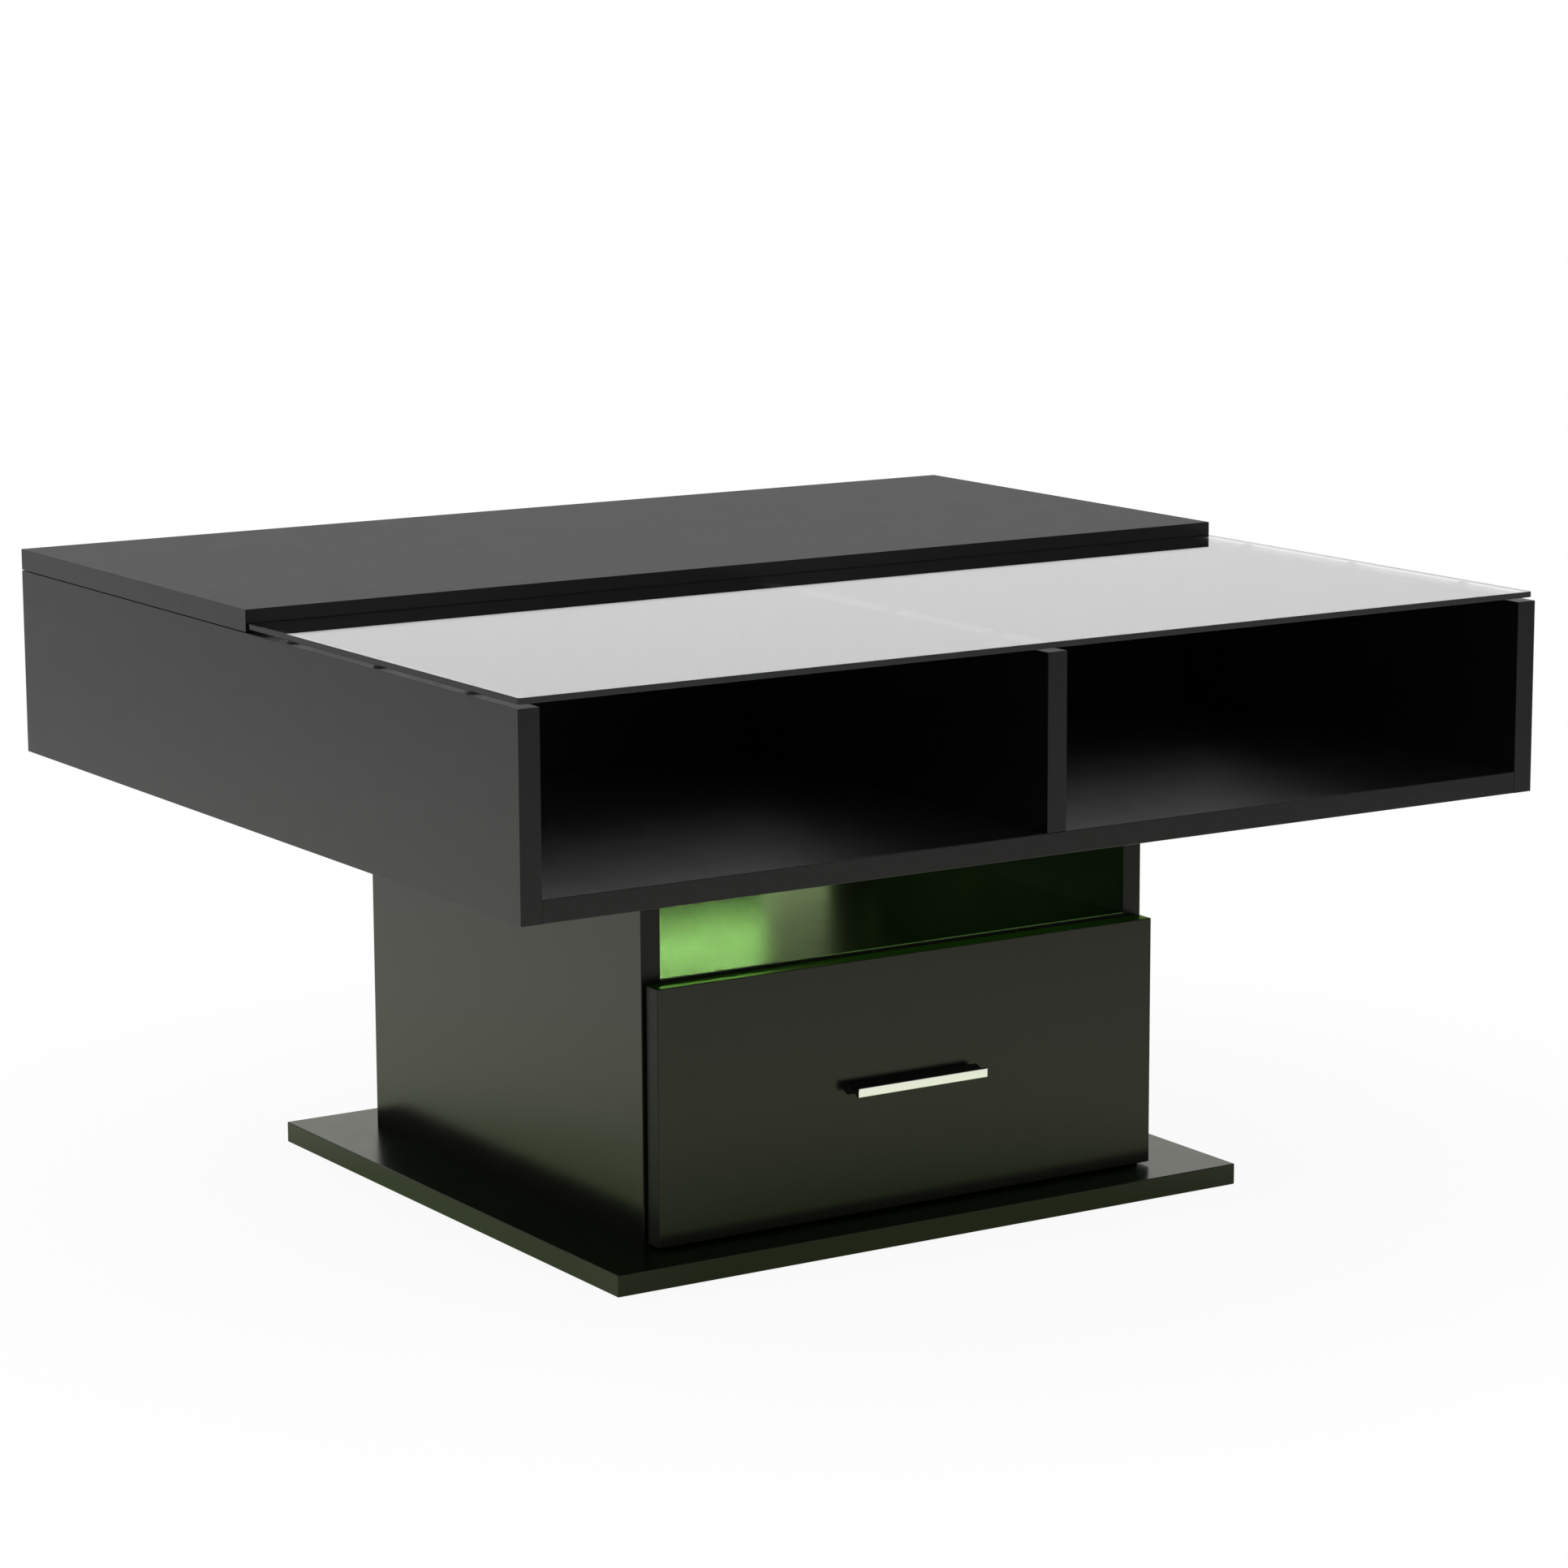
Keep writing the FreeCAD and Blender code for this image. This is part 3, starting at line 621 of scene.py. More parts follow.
def settle(draft):
    # modifiers of a draft object become a plain mesh, and the draft goes
    graph = bpy.context.evaluated_depsgraph_get()
    result = draft.evaluated_get(graph)
    mesh = bpy.data.meshes.new_from_object(result, preserve_all_data_layers=True, depsgraph=graph)
    draft.modifiers.clear()
    bpy.data.objects.remove(draft)
    return mesh


def meshFrom(name, bm):
    mesh = bpy.data.meshes.new(name)
    bm.to_mesh(mesh)
    bm.free()
    return mesh


def welded(mesh, reach):
    bm = bmesh.new()
    bm.from_mesh(mesh)
    bmesh.ops.remove_doubles(bm, verts=bm.verts, dist=reach)
    return bm


def addBox(bm, low, high):
    corners = bmesh.ops.create_cube(bm, size=1.0)["verts"]
    bmesh.ops.scale(bm, vec=high - low, verts=corners)
    bmesh.ops.translate(bm, vec=(low + high) / 2, verts=corners)


def ease(bm, edges, width, steps=2):
    # a profile of 0.5 is round
    bmesh.ops.bevel(bm, geom=edges, offset=width, segments=steps, profile=0.5, affect="EDGES")


def carve(name, mesh, tool):
    # takes one mesh out of another
    draft = addObject(name + ".draft", mesh)
    cutter = addObject("cutter", tool)
    cut = draft.modifiers.new("cut", "BOOLEAN")
    cut.operation = "DIFFERENCE"
    cut.solver = "EXACT"
    cut.object = cutter
    carved = settle(draft)
    bpy.data.objects.remove(cutter)
    bm = welded(carved, weld["cut"])
    bm.to_mesh(carved)
    bm.free()
    return carved


def islands(node):
    # lowest and highest corner of each separate solid of a node
    bm = welded(nodes[node].data, weld["node"])
    left = set(bm.verts)
    found = []
    while left:
        front = [left.pop()]
        group = []
        while front:
            vert = front.pop()
            group.append(vert.co.copy())
            for edge in vert.link_edges:
                other = edge.other_vert(vert)
                if other in left:
                    left.discard(other)
                    front.append(other)
        low = Vector([min(co[axis] for co in group) for axis in range(3)])
        high = Vector([max(co[axis] for co in group) for axis in range(3)])
        found.append((low, high))
    bm.free()
    return sorted(found, key=lambda span: tuple(span[0]))


# Boards: laminated, with rounded lippings on their edges and drilled seats for what shows
boardLook = {
    "round": 0.6 * millimetre,
    "fineRound": 0.2 * millimetre,  # where the lid meets the side walls
    "steps": 3,
    "broad": 0.9,  # a face that turns this far to the thin way is a broad one, not an edge
    "drillSides": 48,
    "drillClear": 0.05 * millimetre,
    "seatSlack": 0.1 * millimetre,
    "screwHead": 4.0 * millimetre,
    "grooveClear": 0.2 * millimetre,
}
boardFinish = {
    "base_plate": "baseBlack",
    "pedestal_left_side": "pedestalBlack",
    "pedestal_right_side": "pedestalBlack",
    "niche_floor": "nicheFloor",
    "cabinet_bottom": "boardBlack",
    "cabinet_left_side": "boardBlack",
    "cabinet_right_side": "boardBlack",
    "cabinet_partition": "boardBlack",
    "cabinet_back": "boardBlack",
    "front_divider": "boardBlack",
    "lid_panel": "lidBlack",
    "drawer_front": "pedestalBlack",
    "drawer_left_side": "boardBlack",
    "drawer_right_side": "boardBlack",
    "drawer_back": "boardBlack",
}
edgeFinish = {
    "pedestalBlack": "pedestalEdge",
    "nicheFloor": "drawerEdge",
    "baseBlack": "pedestalBlack",
    "lidBlack": "lidEdge",
    "boardBlack": "edgeBlack",
    "drawer_front": "drawerEdge",
}  # by the board's name, or else by its finish
ownFinish = {
    "pedestal_left_side": ("nicheWall", (1, 0, 0), 25),
    "pedestal_right_side": ("nicheWall", (-1, 0, 0), 25),
    "niche_floor": ("nicheArris", (0, -1, 1), 40),
    "drawer_front": ("drawerTop", (0, 0, 1), 60),
}  # faces of a board that differ: their finish, the way they face, within so many degrees; they carry painted light: green on the niche's walls, a highlight on the floor's front arris, a green reflection on the drawer's top
buttAxis = {
    "pedestal_left_side": 2,
    "pedestal_right_side": 2,
    "niche_floor": 0,
    "cabinet_bottom": 0,
    "cabinet_partition": 0,
    "cabinet_back": 0,
    "drawer_left_side": 1,
    "drawer_right_side": 1,
    "drawer_back": 0,
}  # across which a board's ends butt against others and stay sharp
frontSeams = ("cabinet_bottom",)  # boards whose ends show a seam at the front
fineEdged = ("lid_panel", "cabinet_left_side", "cabinet_right_side")
grooved = ("drawer_front", "drawer_left_side", "drawer_right_side", "drawer_back")


def within(span, node, slack):
    low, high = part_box(node)
    return all(low[i] - slack <= span[0][i] and span[1][i] <= high[i] + slack for i in range(3))


def findCamSeats(node, look):
    # the board that holds each cam, its mouth's centre, the way it faces, its diameter and depth
    seats = []
    hosts = list(boardFinish) + ["pedestal_back"]
    for span in islands(node):
        size = span[1] - span[0]
        axis = min(range(3), key=lambda i: size[i])
        host = next(name for name in hosts if within(span, name, look["seatSlack"]))
        low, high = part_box(host)
        outwards = 1 if high[axis] - span[1][axis] < span[0][axis] - low[axis] else -1
        mouth = (span[0] + span[1]) / 2
        mouth[axis] = (high if outwards > 0 else low)[axis]
        facing = Vector((0, 0, 0))
        facing[axis] = outwards
        seats.append(dict(host=host, mouth=mouth, facing=facing, across=max(size), depth=size[axis]))
    return seats


def findScrewSeats(look):
    seats = []
    for low, high in islands("base_screws"):
        mouth = (low + high) / 2
        mouth.z = low.z
        across = max(high.x - low.x, high.y - low.y)
        depth = look["screwHead"]
        seats.append(dict(host="base_plate", mouth=mouth, facing=down, across=across, depth=depth))
    return seats


camSeats = findCamSeats("cam_locks", boardLook)
drawerCamSeats = findCamSeats("drawer_cam_locks", boardLook)
screwSeats = findScrewSeats(boardLook)


def drillMesh(seats, look):
    # one mesh of all the cutters of a board, half in and half out of it
    bm = bmesh.new()
    for seat in seats:
        turn = seat["facing"].to_track_quat("Z", "Y").to_matrix().to_4x4()
        radius = seat["across"] / 2 + look["drillClear"]
        bmesh.ops.create_cone(
            bm,
            cap_ends=True,
            segments=look["drillSides"],
            radius1=radius,
            radius2=radius,
            depth=2 * seat["depth"],
            matrix=Matrix.Translation(seat["mouth"]) @ turn,
        )
    return meshFrom("drill", bm)


def grooveMesh(look):
    # what the drawer's bottom sheet takes out of the boards round it
    low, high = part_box("drawer_bottom")
    spare = Vector((1, 1, 1)) * look["grooveClear"]
    bm = bmesh.new()
    addBox(bm, low - spare, high + spare)
    return meshFrom("groove", bm)


def boardMesh(name, look):
    low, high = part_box(name)
    size = high - low
    bm = bmesh.new()
    addBox(bm, low, high)
    butt = buttAxis.get(name)
    free = []
    for edge in bm.edges:
        first, second = (vert.co for vert in edge.verts)
        seam = name in frontSeams and max(first.y, second.y) < (low.y + high.y) / 2
        if butt is None or seam or abs(first[butt] - second[butt]) > size[butt] / 2:
            free.append(edge)
    ease(bm, free, look["fineRound" if name in fineEdged else "round"], look["steps"])
    thin = min(range(3), key=lambda i: size[i])
    for face in bm.faces:
        face.material_index = 0 if abs(face.normal[thin]) > look["broad"] else 1
    return meshFrom(name, bm)


def makeBoard(node, finish, look):
    mesh = boardMesh(node, look)
    edge = edgeFinish.get(node, edgeFinish[finish])
    own, facing, spread = ownFinish.get(node, (edge, up, 0))
    paintMesh(mesh, finish, edge, own)
    for face in mesh.polygons:
        if face.normal.angle(Vector(facing)) < math.radians(spread):
            face.material_index = 2
    seats = [seat for seat in camSeats + drawerCamSeats + screwSeats if seat["host"] == node]
    cutters = [drillMesh(seats, look)] if seats else []
    if node in grooved:
        cutters.append(grooveMesh(look))
    for cutter in cutters:
        mesh = carve(node, mesh, cutter)
    place(node + "_board", mesh, bodyOf[node], finish, node)


for node, finish in boardFinish.items():
    makeBoard(node, finish, boardLook)
print("boards made:", len(boardFinish))


# Rigid CAD pieces whose shape is kept: copies with eased edges, their widths in millimetres
easedLook = {
    "pedestal_back": ("nicheBlack", 0.25),
    "drawer_bottom": ("hardboardBlack", 0.3),
    "led_strip": ("stripWhite", 0.15),
    "led_connector": ("plasticBlack", 0.3),
    "lift_cross_tube": ("steelBlack", 0.3),
    "lift_base_pins": ("zincBright", 0.4),
    "lid_pins": ("zincBright", 0.4),
}
easedPairs = {
    "lift_bracket": ("steelBlack", 0.4),
    "lift_arm": ("steelBlack", 0.5),
    "lift_link": ("steelBlack", 0.5),
    "lid_bracket": ("steelBlack", 0.4),
    "runner_outer": ("runnerZinc", 0.35),
    "runner_middle": ("runnerZinc", 0.35),
    "runner_inner": ("runnerZinc", 0.35),
}
for pair, look in easedPairs.items():
    for side in ("_left", "_right"):
        easedLook[pair + side] = look
easing = {
    "steps": 2,
    "fold": math.radians(32),  # an edge that folds less stays as it is
    "flat": math.radians(1),  # triangles that fold less are one face
    "pinSlack": 0.06 * millimetre,  # room for the pins to turn in the facets of their holes
}
turningPins = ("lift_base_pins", "lid_pins")


def easedMesh(node, width, look):
    bm = welded(nodes[node].data, weld["node"])
    bmesh.ops.dissolve_limit(bm, angle_limit=look["flat"], verts=bm.verts, edges=bm.edges)
    bmesh.ops.recalc_face_normals(bm, faces=bm.faces)
    bm.normal_update()
    if node in turningPins:
        for vert in bm.verts:
            vert.co -= vert.normal * look["pinSlack"]
    mesh = meshFrom(node, bm)
    for face in mesh.polygons:
        face.use_smooth = True
    draft = addObject(node + ".draft", mesh)
    bevel = draft.modifiers.new("ease", "BEVEL")
    bevel.width = width
    bevel.segments = look["steps"]
    bevel.limit_method = "ANGLE"
    bevel.angle_limit = look["fold"]
    bevel.harden_normals = True
    return settle(draft)


for node, (finish, width) in easedLook.items():
    mesh = easedMesh(node, width * millimetre, easing)
    paintMesh(mesh, finish)
    place(node + "_eased", mesh, bodyOf[node], finish, node)
print("eased pieces:", len(easedLook))


# Handle: black sides, bright flat face, which is what lies in its front layer and turns forwards
handleLook = {"edge": 0.18 * millimetre, "faceDepth": 0.8 * millimetre, "faceTurn": 0.3}


def makeHandle(look):
    node = "drawer_handle"
    mesh = easedMesh(node, look["edge"], easing)
    paintMesh(mesh, "lacquerBlack", "aluminiumBright")
    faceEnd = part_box(node)[0].y + look["faceDepth"]
    for face in mesh.polygons:
        bright = face.center.y < faceEnd and face.normal.y < -look["faceTurn"]
        face.material_index = 1 if bright else 0
    place("bar_handle", mesh, bodyOf[node], "aluminiumBright", node)


makeHandle(handleLook)


# Glass pane: rounded corners, ground and polished rims
glassPane = {
    "corner": 2.0 * millimetre,
    "cornerSteps": 6,
    "arris": 0.5 * millimetre,
    "arrisSteps": 2,
    "broad": 0.95,  # normals that turn this far up or down are on the pane's broad faces
    "rear": 0.3,  # and this far to the back on its rear rim
}


def makeGlass(look):
    bm = bmesh.new()
    addBox(bm, *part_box("glass_top"))
    upright = [e for e in bm.edges if abs(e.verts[0].co.z - e.verts[1].co.z) > look["arris"]]
    ease(bm, upright, look["corner"], look["cornerSteps"])
    rims = [e for e in bm.edges if abs(e.verts[0].co.z - e.verts[1].co.z) < look["arris"]]
    ease(bm, rims, look["arris"], look["arrisSteps"])
    for face in bm.faces:
        if abs(face.normal.z) <= look["broad"]:
            face.material_index = 2 if face.normal.y > look["rear"] else 1
    mesh = meshFrom("glass_pane", bm)
    paintMesh(mesh, "glassClear", "glassRim", "glassRear")
    place("glass_pane", mesh, bodyOf["glass_top"], "glassClear", "glass_top")


makeGlass(glassPane)
print("handle and glass made")


# Geometry Nodes: one shape set at many places, each turned to face its own way
def makeTree(name, *sockets):
    # what both trees share: a shape set on points, made real and painted
    tree = bpy.data.node_groups.new(name, "GeometryNodeTree")
    keys = {}
    for label, kind in (*sockets, ("Shape", "Object"), ("Finish", "Material")):
        socket = tree.interface.new_socket(label, in_out="INPUT", socket_type="NodeSocket" + kind)
        keys[label] = socket.identifier
    tree.interface.new_socket("Parts", in_out="OUTPUT", socket_type="NodeSocketGeometry")
    entry = addNode(tree, "NodeGroupInput")
    shape = addNode(tree, "GeometryNodeObjectInfo")
    instances = addNode(tree, "GeometryNodeInstanceOnPoints")
    real = addNode(tree, "GeometryNodeRealizeInstances")
    paint = addNode(tree, "GeometryNodeSetMaterial")
    leave = addNode(tree, "NodeGroupOutput")
    join(tree, entry, "Shape", shape, "Object")
    join(tree, shape, "Geometry", instances, "Instance")
    join(tree, instances, "Instances", real, "Geometry")
    join(tree, real, "Geometry", paint, "Geometry")
    join(tree, entry, "Finish", paint, "Material")
    join(tree, paint, "Geometry", leave, "Parts")
    return tree, keys, entry, instances


def makeSetTree():
    sockets = (("Places", "Geometry"), ("Turn", "Float"), ("Seed", "Int"))
    tree, keys, entry, instances = makeTree("setParts", *sockets)
    facing = addNode(tree, "GeometryNodeInputNamedAttribute", {"Name": "facing"}, data_type="FLOAT_VECTOR")
    align = addNode(tree, "FunctionNodeAlignRotationToVector", axis="Z")
    chance = addNode(tree, "FunctionNodeRandomValue", {2: 0.0}, data_type="FLOAT")  # 2 and 3: its limits
    spin = addNode(tree, "FunctionNodeAxisAngleToRotation", {"Axis": up})
    turned = addNode(tree, "FunctionNodeRotateRotation", rotation_space="LOCAL")
    join(tree, entry, "Places", instances, "Points")
    join(tree, facing, "Attribute", align, "Vector")
    join(tree, entry, "Turn", chance, 3)
    join(tree, entry, "Seed", chance, "Seed")
    join(tree, chance, 1, spin, "Angle")
    join(tree, align, "Rotation", turned, "Rotation")
    join(tree, spin, "Rotation", turned, "Rotate By")
    join(tree, turned, "Rotation", instances, "Rotation")
    return tree, keys


def makeRowTree():
    tree, keys, entry, instances = makeTree("rowParts", ("Path", "Geometry"), ("Pitch", "Float"))
    curve = addNode(tree, "GeometryNodeMeshToCurve")
    steps = addNode(tree, "GeometryNodeResampleCurve", mode="LENGTH")
    join(tree, entry, "Path", curve, "Mesh")
    join(tree, curve, "Curve", steps, "Curve")
    join(tree, entry, "Pitch", steps, "Length")
    join(tree, steps, "Curve", instances, "Points")
    return tree, keys


setTree = makeSetTree()
rowTree = makeRowTree()


def growParts(mesh, shape, treeAndKeys, values):
    # runs a tree on a mesh of points or edges and gives back the plain mesh
    tree, keys = treeAndKeys
    draft = addObject(mesh.name + ".draft", mesh)
    template = addObject(mesh.name + ".shape", shape)
    modifier = draft.modifiers.new("parts", "NODES")
    modifier.node_group = tree
    for label, value in {"Shape": template, **values}.items():
        modifier[keys[label]] = value
    grown = settle(draft)
    bpy.data.objects.remove(template)
    return grown


def setParts(name, shape, seats, body, finish, *stoodFor, turn=0.0, seed=1):
    # seats are (point, facing) pairs
    mesh = bpy.data.meshes.new(name)
    mesh.from_pydata([point for point, facing in seats], [], [])
    facings = mesh.attributes.new("facing", "FLOAT_VECTOR", "POINT")
    for item, (point, facing) in zip(facings.data, seats):
        item.vector = facing
    values = {"Turn": turn, "Seed": seed, "Finish": finishes[finish]}
    place(name, growParts(mesh, shape, setTree, values), body, finish, *stoodFor)


def rowParts(name, shape, rows, pitch, body, finish):
    # rows are (start, end) pairs
    mesh = bpy.data.meshes.new(name)
    ends = [end for row in rows for end in row]
    mesh.from_pydata(ends, [(n, n + 1) for n in range(0, len(ends), 2)], [])
    values = {"Pitch": pitch, "Finish": finishes[finish]}
    place(name, growParts(mesh, shape, rowTree, values), body, finish)


# Shapes for the trees
sharpFold = math.radians(35)


def turnedMesh(name, profile, sides):
    # turned from (radius, height) points in millimetres, foot to top
    bm = bmesh.new()
    rings = []
    for radius, height in profile:
        spots = sides if radius > 0 else 1
        ring = []
        for n in range(spots):
            angle = 2 * math.pi * n / spots
            spot = Vector((radius * math.cos(angle), radius * math.sin(angle), height))
            ring.append(bm.verts.new(spot * millimetre))
        rings.append(ring)
    for lower, upper in zip(rings, rings[1:]):
        for n in range(sides):
            here = (lower[n % len(lower)], lower[(n + 1) % len(lower)])
            above = (upper[(n + 1) % len(upper)], upper[n % len(upper)])
            corners = list(dict.fromkeys(here + above))  # a pole counts once
            bm.faces.new(corners).smooth = True
    mesh = meshFrom(name, bm)
    mesh.set_sharp_from_angle(angle=sharpFold)
    return mesh


def crossTool(top, arm, width, depth):
    # a cross-shaped prism that reaches as far below the top as above it, millimetres
    points = []
    for turn in range(4):
        quarter = Matrix.Rotation(turn * math.pi / 2, 3, "Z")
        for x, y in ((arm, width), (width, width), (width, arm)):
            points.append(quarter @ Vector((x, y, top - depth)))
    bm = bmesh.new()
    face = bm.faces.new([bm.verts.new(point * millimetre) for point in points])
    lifted = bmesh.ops.extrude_face_region(bm, geom=[face])["geom"]
    corners = [item for item in lifted if isinstance(item, bmesh.types.BMVert)]
    bmesh.ops.translate(bm, vec=up * 2 * depth * millimetre, verts=corners)
    bmesh.ops.recalc_face_normals(bm, faces=bm.faces)
    return meshFrom("cross", bm)


def platesMesh(name, spans, width):
    # several small plates with eased edges in one mesh
    bm = bmesh.new()
    for low, high in spans:
        addBox(bm, low, high)
    ease(bm, bm.edges[:], width)
    return meshFrom(name, bm)


def standing(node):
    # places of pieces that stand on something
    return [(Vector(((a.x + b.x) / 2, (a.y + b.y) / 2, a.z)), up) for a, b in islands(node)]


def hanging(node):
    # places of pieces that hang below something
    return [(Vector(((a.x + b.x) / 2, (a.y + b.y) / 2, b.z)), down) for a, b in islands(node)]


def heightOf(node):
    low, high = islands(node)[0]
    return (high.z - low.z) / millimetre


# Clear dots under the glass
bumperDot = {"radius": 5.0, "lip": 0.5, "crown": 1.6, "domeSteps": 5, "sides": 28}


def makeBumpers(look):
    node = "glass_bumpers"
    height = heightOf(node)
    radius, lip, crown = look["radius"], look["lip"], look["crown"]
    dome = [(0, 0), (radius, 0), (radius, lip)]
    for n in range(look["domeSteps"]):  # quarter of an oval from the lip to the flat crown
        angle = math.radians(90) * (n + 1) / look["domeSteps"]
        dome.append((crown + (radius - crown) * math.cos(angle), lip + (height - lip) * math.sin(angle)))
    dome.append((0, height))
    shape = turnedMesh("bumper", dome, look["sides"])
    setParts("clear_bumpers", shape, standing(node), "carcass", "bumperClear", node)


# Felt pads under the lid
padDot = {"radius": 5.0, "edge": 0.12, "sides": 28}


def makePads(look):
    node = "lid_pads"
    height = heightOf(node)
    radius, edge = look["radius"], look["edge"]
    felt = [(0, 0), (radius, 0), (radius, height - edge), (radius - edge, height), (0, height)]
    shape = turnedMesh("pad", felt, look["sides"])
    setParts("felt_pads", shape, standing(node), "carcass", "feltBlack", node)


# Dished glides under the base plate
glideDot = {"radius": 12.0, "rim": 0.7, "dish": 0.35, "dishRadius": 7.5, "sides": 40}


def makeGlides(look):
    node = "base_glides"
    height = heightOf(node)
    radius, rim, dish = look["radius"], look["rim"], look["dish"]
    foot = [
        (0, 0),
        (radius, 0),
        (radius, height - rim),
        (radius - rim, height),
        (look["dishRadius"], height),
        (look["dishRadius"] - dish, height - dish),
        (0, height - dish),
    ]
    shape = turnedMesh("glide", foot, look["sides"])
    setParts("floor_glides", shape, hanging(node), "carcass", "plasticBlack", node)


makeBumpers(bumperDot)
makePads(padDot)
makeGlides(glideDot)
print("dots set")


# Screws and cams, in millimetres: each has a cross recess, given by its arm, half width and depth
camLook = {"rim": 0.5, "recess": 0.25, "sunk": 0.3, "cross": (3.6, 0.9, 3.0), "sides": 36}
sunkScrew = {"head": 5.0, "lip": 0.4, "shank": 2.2, "tip": 6.0, "cross": (2.6, 0.55, 1.6), "sides": 28}
plateScrew = {
    "head": 4.2,
    "lip": 0.15,
    "shank": 1.7,
    "tip": 1.7,
    "length": 13.0,
    "cross": (2.2, 0.5, 1.6),
    "sides": 24,
}
handleScrew = {
    "head": 3.5,
    "lip": 0.7,
    "crown": 2.0,
    "shoulder": (0.8, 0.6),  # the dome's middle: shares of the way from crown to rim and from lip to top
    "shank": 1.5,
    "cross": (1.9, 0.45, 1.3),
    "sides": 24,
}
flangeScrew = {
    **handleScrew,
    "head": 3.6,
    "lip": 0.6,
    "crown": 1.9,
    "shank": 1.7,
    "length": 12.0,
    "height": 2.0,
}
anyTurn = math.pi  # they stop at any angle in the half turn, from a fixed seed


def crossed(name, profile, top, look):
    return carve(name, turnedMesh(name, profile, look["sides"]), crossTool(top, *look["cross"]))


def camShape(seat, look):
    radius = seat["across"] / 2 / millimetre
    depth = seat["depth"] / millimetre
    rim, sunk = look["rim"], look["sunk"]
    disc = [
        (0, -depth),
        (radius, -depth),
        (radius, -sunk),
        (radius - rim, -sunk),
        (radius - 2 * rim, -sunk - look["recess"]),
        (0, -sunk - look["recess"]),
    ]
    return crossed("cam", disc, -sunk, look)


def sunkShape(length, look):
    # a flat head flush with the face, its cone, shank and tip; the face is at height 0
    head, lip, shank = look["head"], look["lip"], look["shank"]
    cone = head - shank
    profile = [
        (0, -length),
        (shank, -length + look["tip"]),
        (shank, -lip - cone),
        (head, -lip),
        (head, 0),
        (0, 0),
    ]
    return crossed("screw", profile, 0, look)


def panShape(length, height, look):
    # a domed head that stands on the face at height 0
    head, lip, crown, shank = look["head"], look["lip"], look["crown"], look["shank"]
    out, rise = look["shoulder"]
    profile = [
        (0, -length),
        (shank, -length + shank),
        (shank, 0),
        (head, 0),
        (head, lip),
        (crown + out * (head - crown), lip + rise * (height - lip)),
        (crown, height),
        (0, height),
    ]
    return crossed("screw", profile, height, look)


def makeSeated(name, shape, seats, node, seed):
    # cams and screws in their drilled seats
    spots = [(seat["mouth"], seat["facing"]) for seat in seats]
    setParts(name, shape, spots, bodyOf[node], "zincBright", node, turn=anyTurn, seed=seed)


def makeHandleScrews(look):
    node = "handle_screws"
    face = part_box("drawer_front")[1].y
    spans = islands(node)
    spots = [(Vector(((a.x + b.x) / 2, face, (a.z + b.z) / 2)), Vector((0, 1, 0))) for a, b in spans]
    low, high = spans[0]
    shape = panShape((face - low.y) / millimetre, (high.y - face) / millimetre, look)
    setParts("bar_handle_screws", shape, spots, bodyOf[node], "zincBright", node, turn=anyTurn, seed=5)


camDisc = camShape(camSeats[0], camLook)
drawerCamDisc = camShape(drawerCamSeats[0], camLook)
baseScrew = sunkShape(heightOf("base_screws"), sunkScrew)
makeSeated("cam_discs", camDisc, camSeats, "cam_locks", seed=2)
makeSeated("drawer_cam_discs", drawerCamDisc, drawerCamSeats, "drawer_cam_locks", seed=3)
makeSeated("base_plate_screws", baseScrew, screwSeats, "base_screws", seed=4)
makeHandleScrews(handleScrew)


# Screws of the lift fitting: flat ones through the side plates, domed ones through the lid's flanges
liftScrews = {
    "corner": 11.0 * millimetre,  # from the side plate's edges
    "flangeEnds": 14.0 * millimetre,
    "flangeCount": 3,
    "flangeIn": 9.0 * millimetre,  # from the flange's free edge
    "sheet": 2.0 * millimetre,
}


def makeLiftScrews(look):
    plates, flanges = [], []
    corner = look["corner"]
    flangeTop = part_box("lid_panel")[0].z - look["sheet"]
    for side, inwards in (("_left", 1), ("_right", -1)):
        low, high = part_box("lift_bracket" + side)
        face = high.x if inwards > 0 else low.x
        middle = (low + high) / 2
        upper, lower = (low.y + corner, high.z - corner), (high.y - corner, low.z + corner)
        for y, z in (upper, middle.yz, lower):
            plates.append((Vector((face, y, z)), Vector((inwards, 0, 0))))
        low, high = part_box("lid_bracket" + side)
        x = (high.x if inwards > 0 else low.x) - inwards * look["flangeIn"]
        start, end = low.y + look["flangeEnds"], high.y - look["flangeEnds"]
        for n in range(look["flangeCount"]):
            y = start + (end - start) * n / (look["flangeCount"] - 1)
            flanges.append((Vector((x, y, flangeTop)), down))
    shape = sunkShape(plateScrew["length"], plateScrew)
    setParts("lift_plate_screws", shape, plates, "carcass", "zincBright", turn=anyTurn, seed=6)
    shape = panShape(flangeScrew["length"], flangeScrew["height"], flangeScrew)
    setParts("lid_flange_screws", shape, flanges, "lid", "zincBright", turn=anyTurn, seed=7)


makeLiftScrews(liftScrews)
print("screws and cams set")


# Runner balls in their cages
ballLook = {"radius": 1.35, "sides": 8, "rings": 6, "pitch": 9.0 * millimetre, "end": 4.0 * millimetre}
cageLook = {"thickness": 0.5 * millimetre, "round": 0.1 * millimetre}


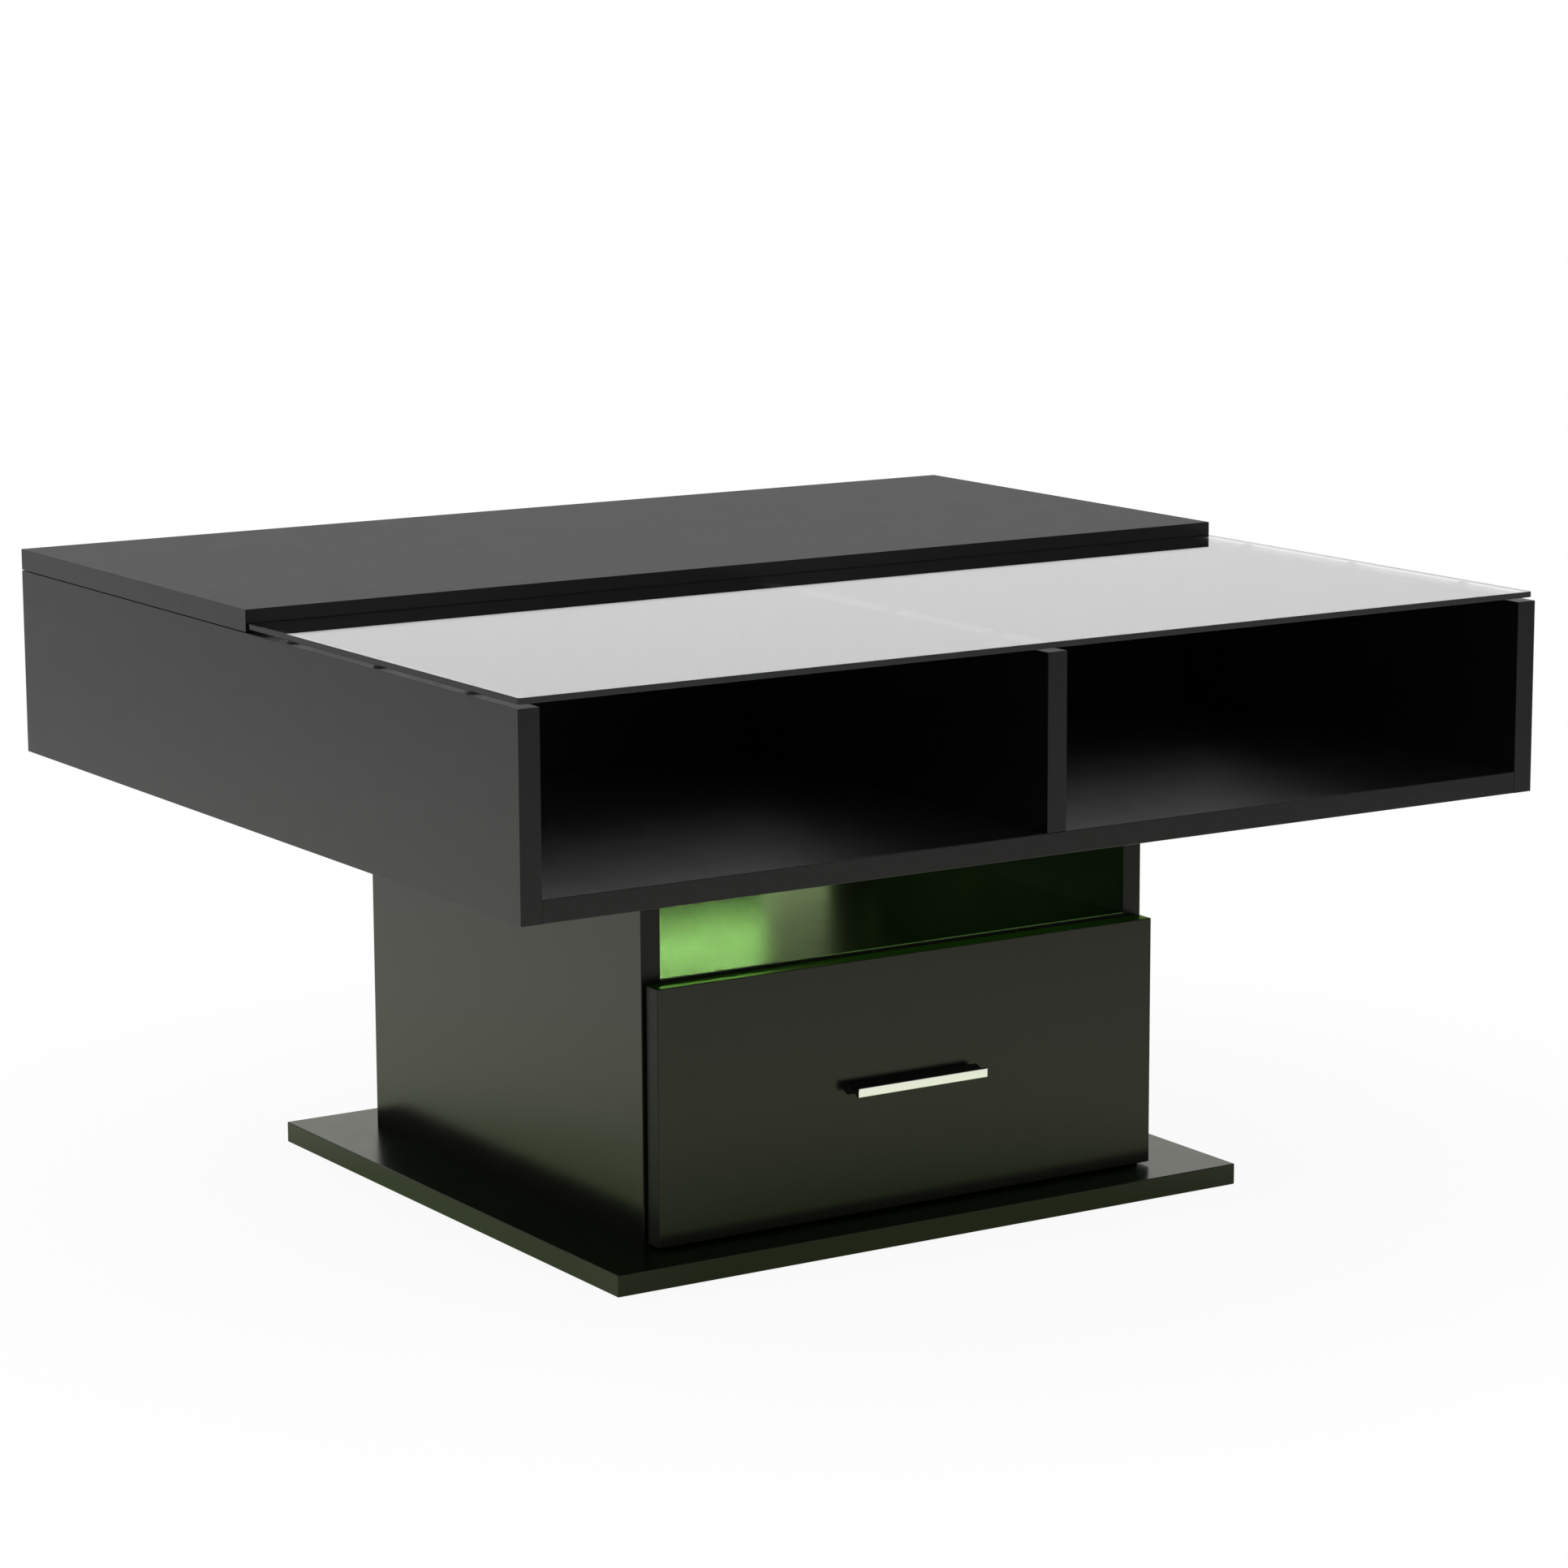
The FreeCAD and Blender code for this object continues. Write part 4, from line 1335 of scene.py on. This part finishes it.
def makeBalls(look, cage):
    node = "ball_cages"
    profile = []
    for n in range(look["rings"] + 1):
        angle = math.pi * n / look["rings"]
        radius = look["radius"] * math.sin(angle) if 0 < n < look["rings"] else 0
        profile.append((radius, -look["radius"] * math.cos(angle)))
    ball = turnedMesh("ball", profile, look["sides"])
    rows, strips = [], []
    half = up * cage["thickness"] / 2
    for low, high in islands(node):
        x, z = ((low + high) / 2).xz
        rows.append((Vector((x, low.y + look["end"], z)), Vector((x, high.y - look["end"], z))))
        strips.append((Vector((low.x, low.y, z)) - half, Vector((high.x, high.y, z)) + half))
    mesh = platesMesh("cage_strips", strips, cage["round"])
    paintMesh(mesh, "runnerZinc")
    place("cage_strips", mesh, bodyOf[node], "runnerZinc", node)
    rowParts("runner_balls", ball, rows, look["pitch"], bodyOf[node], "zincBright")


makeBalls(ballLook, cageLook)


# Lamps on the strip: a pale frame with a round lens, and solder pads between them
chipLook = {"round": 0.25 * millimetre, "lens": 1.9, "lensRise": 0.25, "lensEdge": 0.1, "sides": 24}
padLook = {
    "width": 2.2 * millimetre,
    "length": 1.6 * millimetre,
    "rise": 0.06 * millimetre,
    "apart": 3.2 * millimetre,
    "spread": 0.7,  # how far a pad's middle is from the pair's, as a share of its length
    "round": 0.02 * millimetre,
}


def makeChips(look):
    node = "led_chips"
    low, high = islands(node)[0]
    half = (high - low) / 2
    spots = hanging(node)
    top = heightOf(node)
    rim = (top - look["lensRise"]) * millimetre
    plate = (Vector((-half.x, -half.y, 0)), Vector((half.x, half.y, rim)))
    setParts("lamp_frames", platesMesh("chip", [plate], look["round"]), spots, "carcass", "stripWhite")
    radius, edge = look["lens"], look["lensEdge"]
    base = top - 2 * look["lensRise"]  # as deep in the frame as it stands out of it
    lens = [(0, base), (radius, base), (radius, top - edge), (radius - edge, top), (0, top)]
    shape = turnedMesh("lens", lens, look["sides"])
    setParts("lamp_lenses", shape, spots, "carcass", "lampGreen", node)
    return [point for point, facing in spots]


def makeSolderPads(lamps, look):
    pads = []
    reach = Vector((look["length"] / 2, look["width"] / 2, look["rise"]))
    for side in (-1, 1):
        for end in (-1, 1):
            centre = Vector((end * look["spread"] * look["length"], side * look["apart"] / 2, 0))
            pads.append((centre - reach, centre + reach))
    shape = platesMesh("pads", pads, look["round"])
    x, y, z = lamps[0]
    gap = (lamps[1].x - x) / 2
    row = (Vector((x + gap, y, z)), Vector((lamps[-1].x - gap, y, z)))
    rowParts("solder_pads", shape, [row], 2 * gap, "carcass", "padCopper")


makeSolderPads(makeChips(chipLook), padLook)
print("balls and lamps set")


# Light strip: green light from the niche's ceiling
stripLight = {"colour": (0.64, 1.0, 0.56), "power": 0.51, "drop": 4.0 * millimetre}


def lightStrip(look):
    low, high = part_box("led_strip")
    spot = (low + high) / 2
    spot.z = low.z - look["drop"]
    makeLamp("stripLight", spot, (high.x - low.x, high.y - low.y), look["power"], look["colour"])


# What the niche's ceiling throws back on the floor's front edge and on the drawer's top
nicheGlow = {
    "colour": (0.30, 1.0, 0.14),
    "power": 0.2,
    "depth": 30.0 * millimetre,
    "side": 12.0 * millimetre,
    "drop": 1.0 * millimetre,
}


def lightNicheFront(look):
    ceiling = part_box("cabinet_bottom")[0].z
    low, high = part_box("niche_floor")
    spot = Vector(((low.x + high.x) / 2, low.y + look["depth"] / 2, ceiling - look["drop"]))
    size = (high.x - low.x - 2 * look["side"], look["depth"])
    lamp = makeLamp("nicheGlow", spot, size, look["power"], look["colour"])
    lamp.visible_glossy = False


lightStrip(stripLight)
lightNicheFront(nicheGlow)

# CAD nodes that stay as they are
keptFinish = {
    "dowels": "beechPlain",
    "drawer_dowels": "beechPlain",
    "cam_bolts": "zincBright",
    "drawer_cam_bolts": "zincBright",
}
for node, finish in keptFinish.items():
    nodes[node].data.materials.clear()
    paintMesh(nodes[node].data, finish)
print("kept nodes finished")
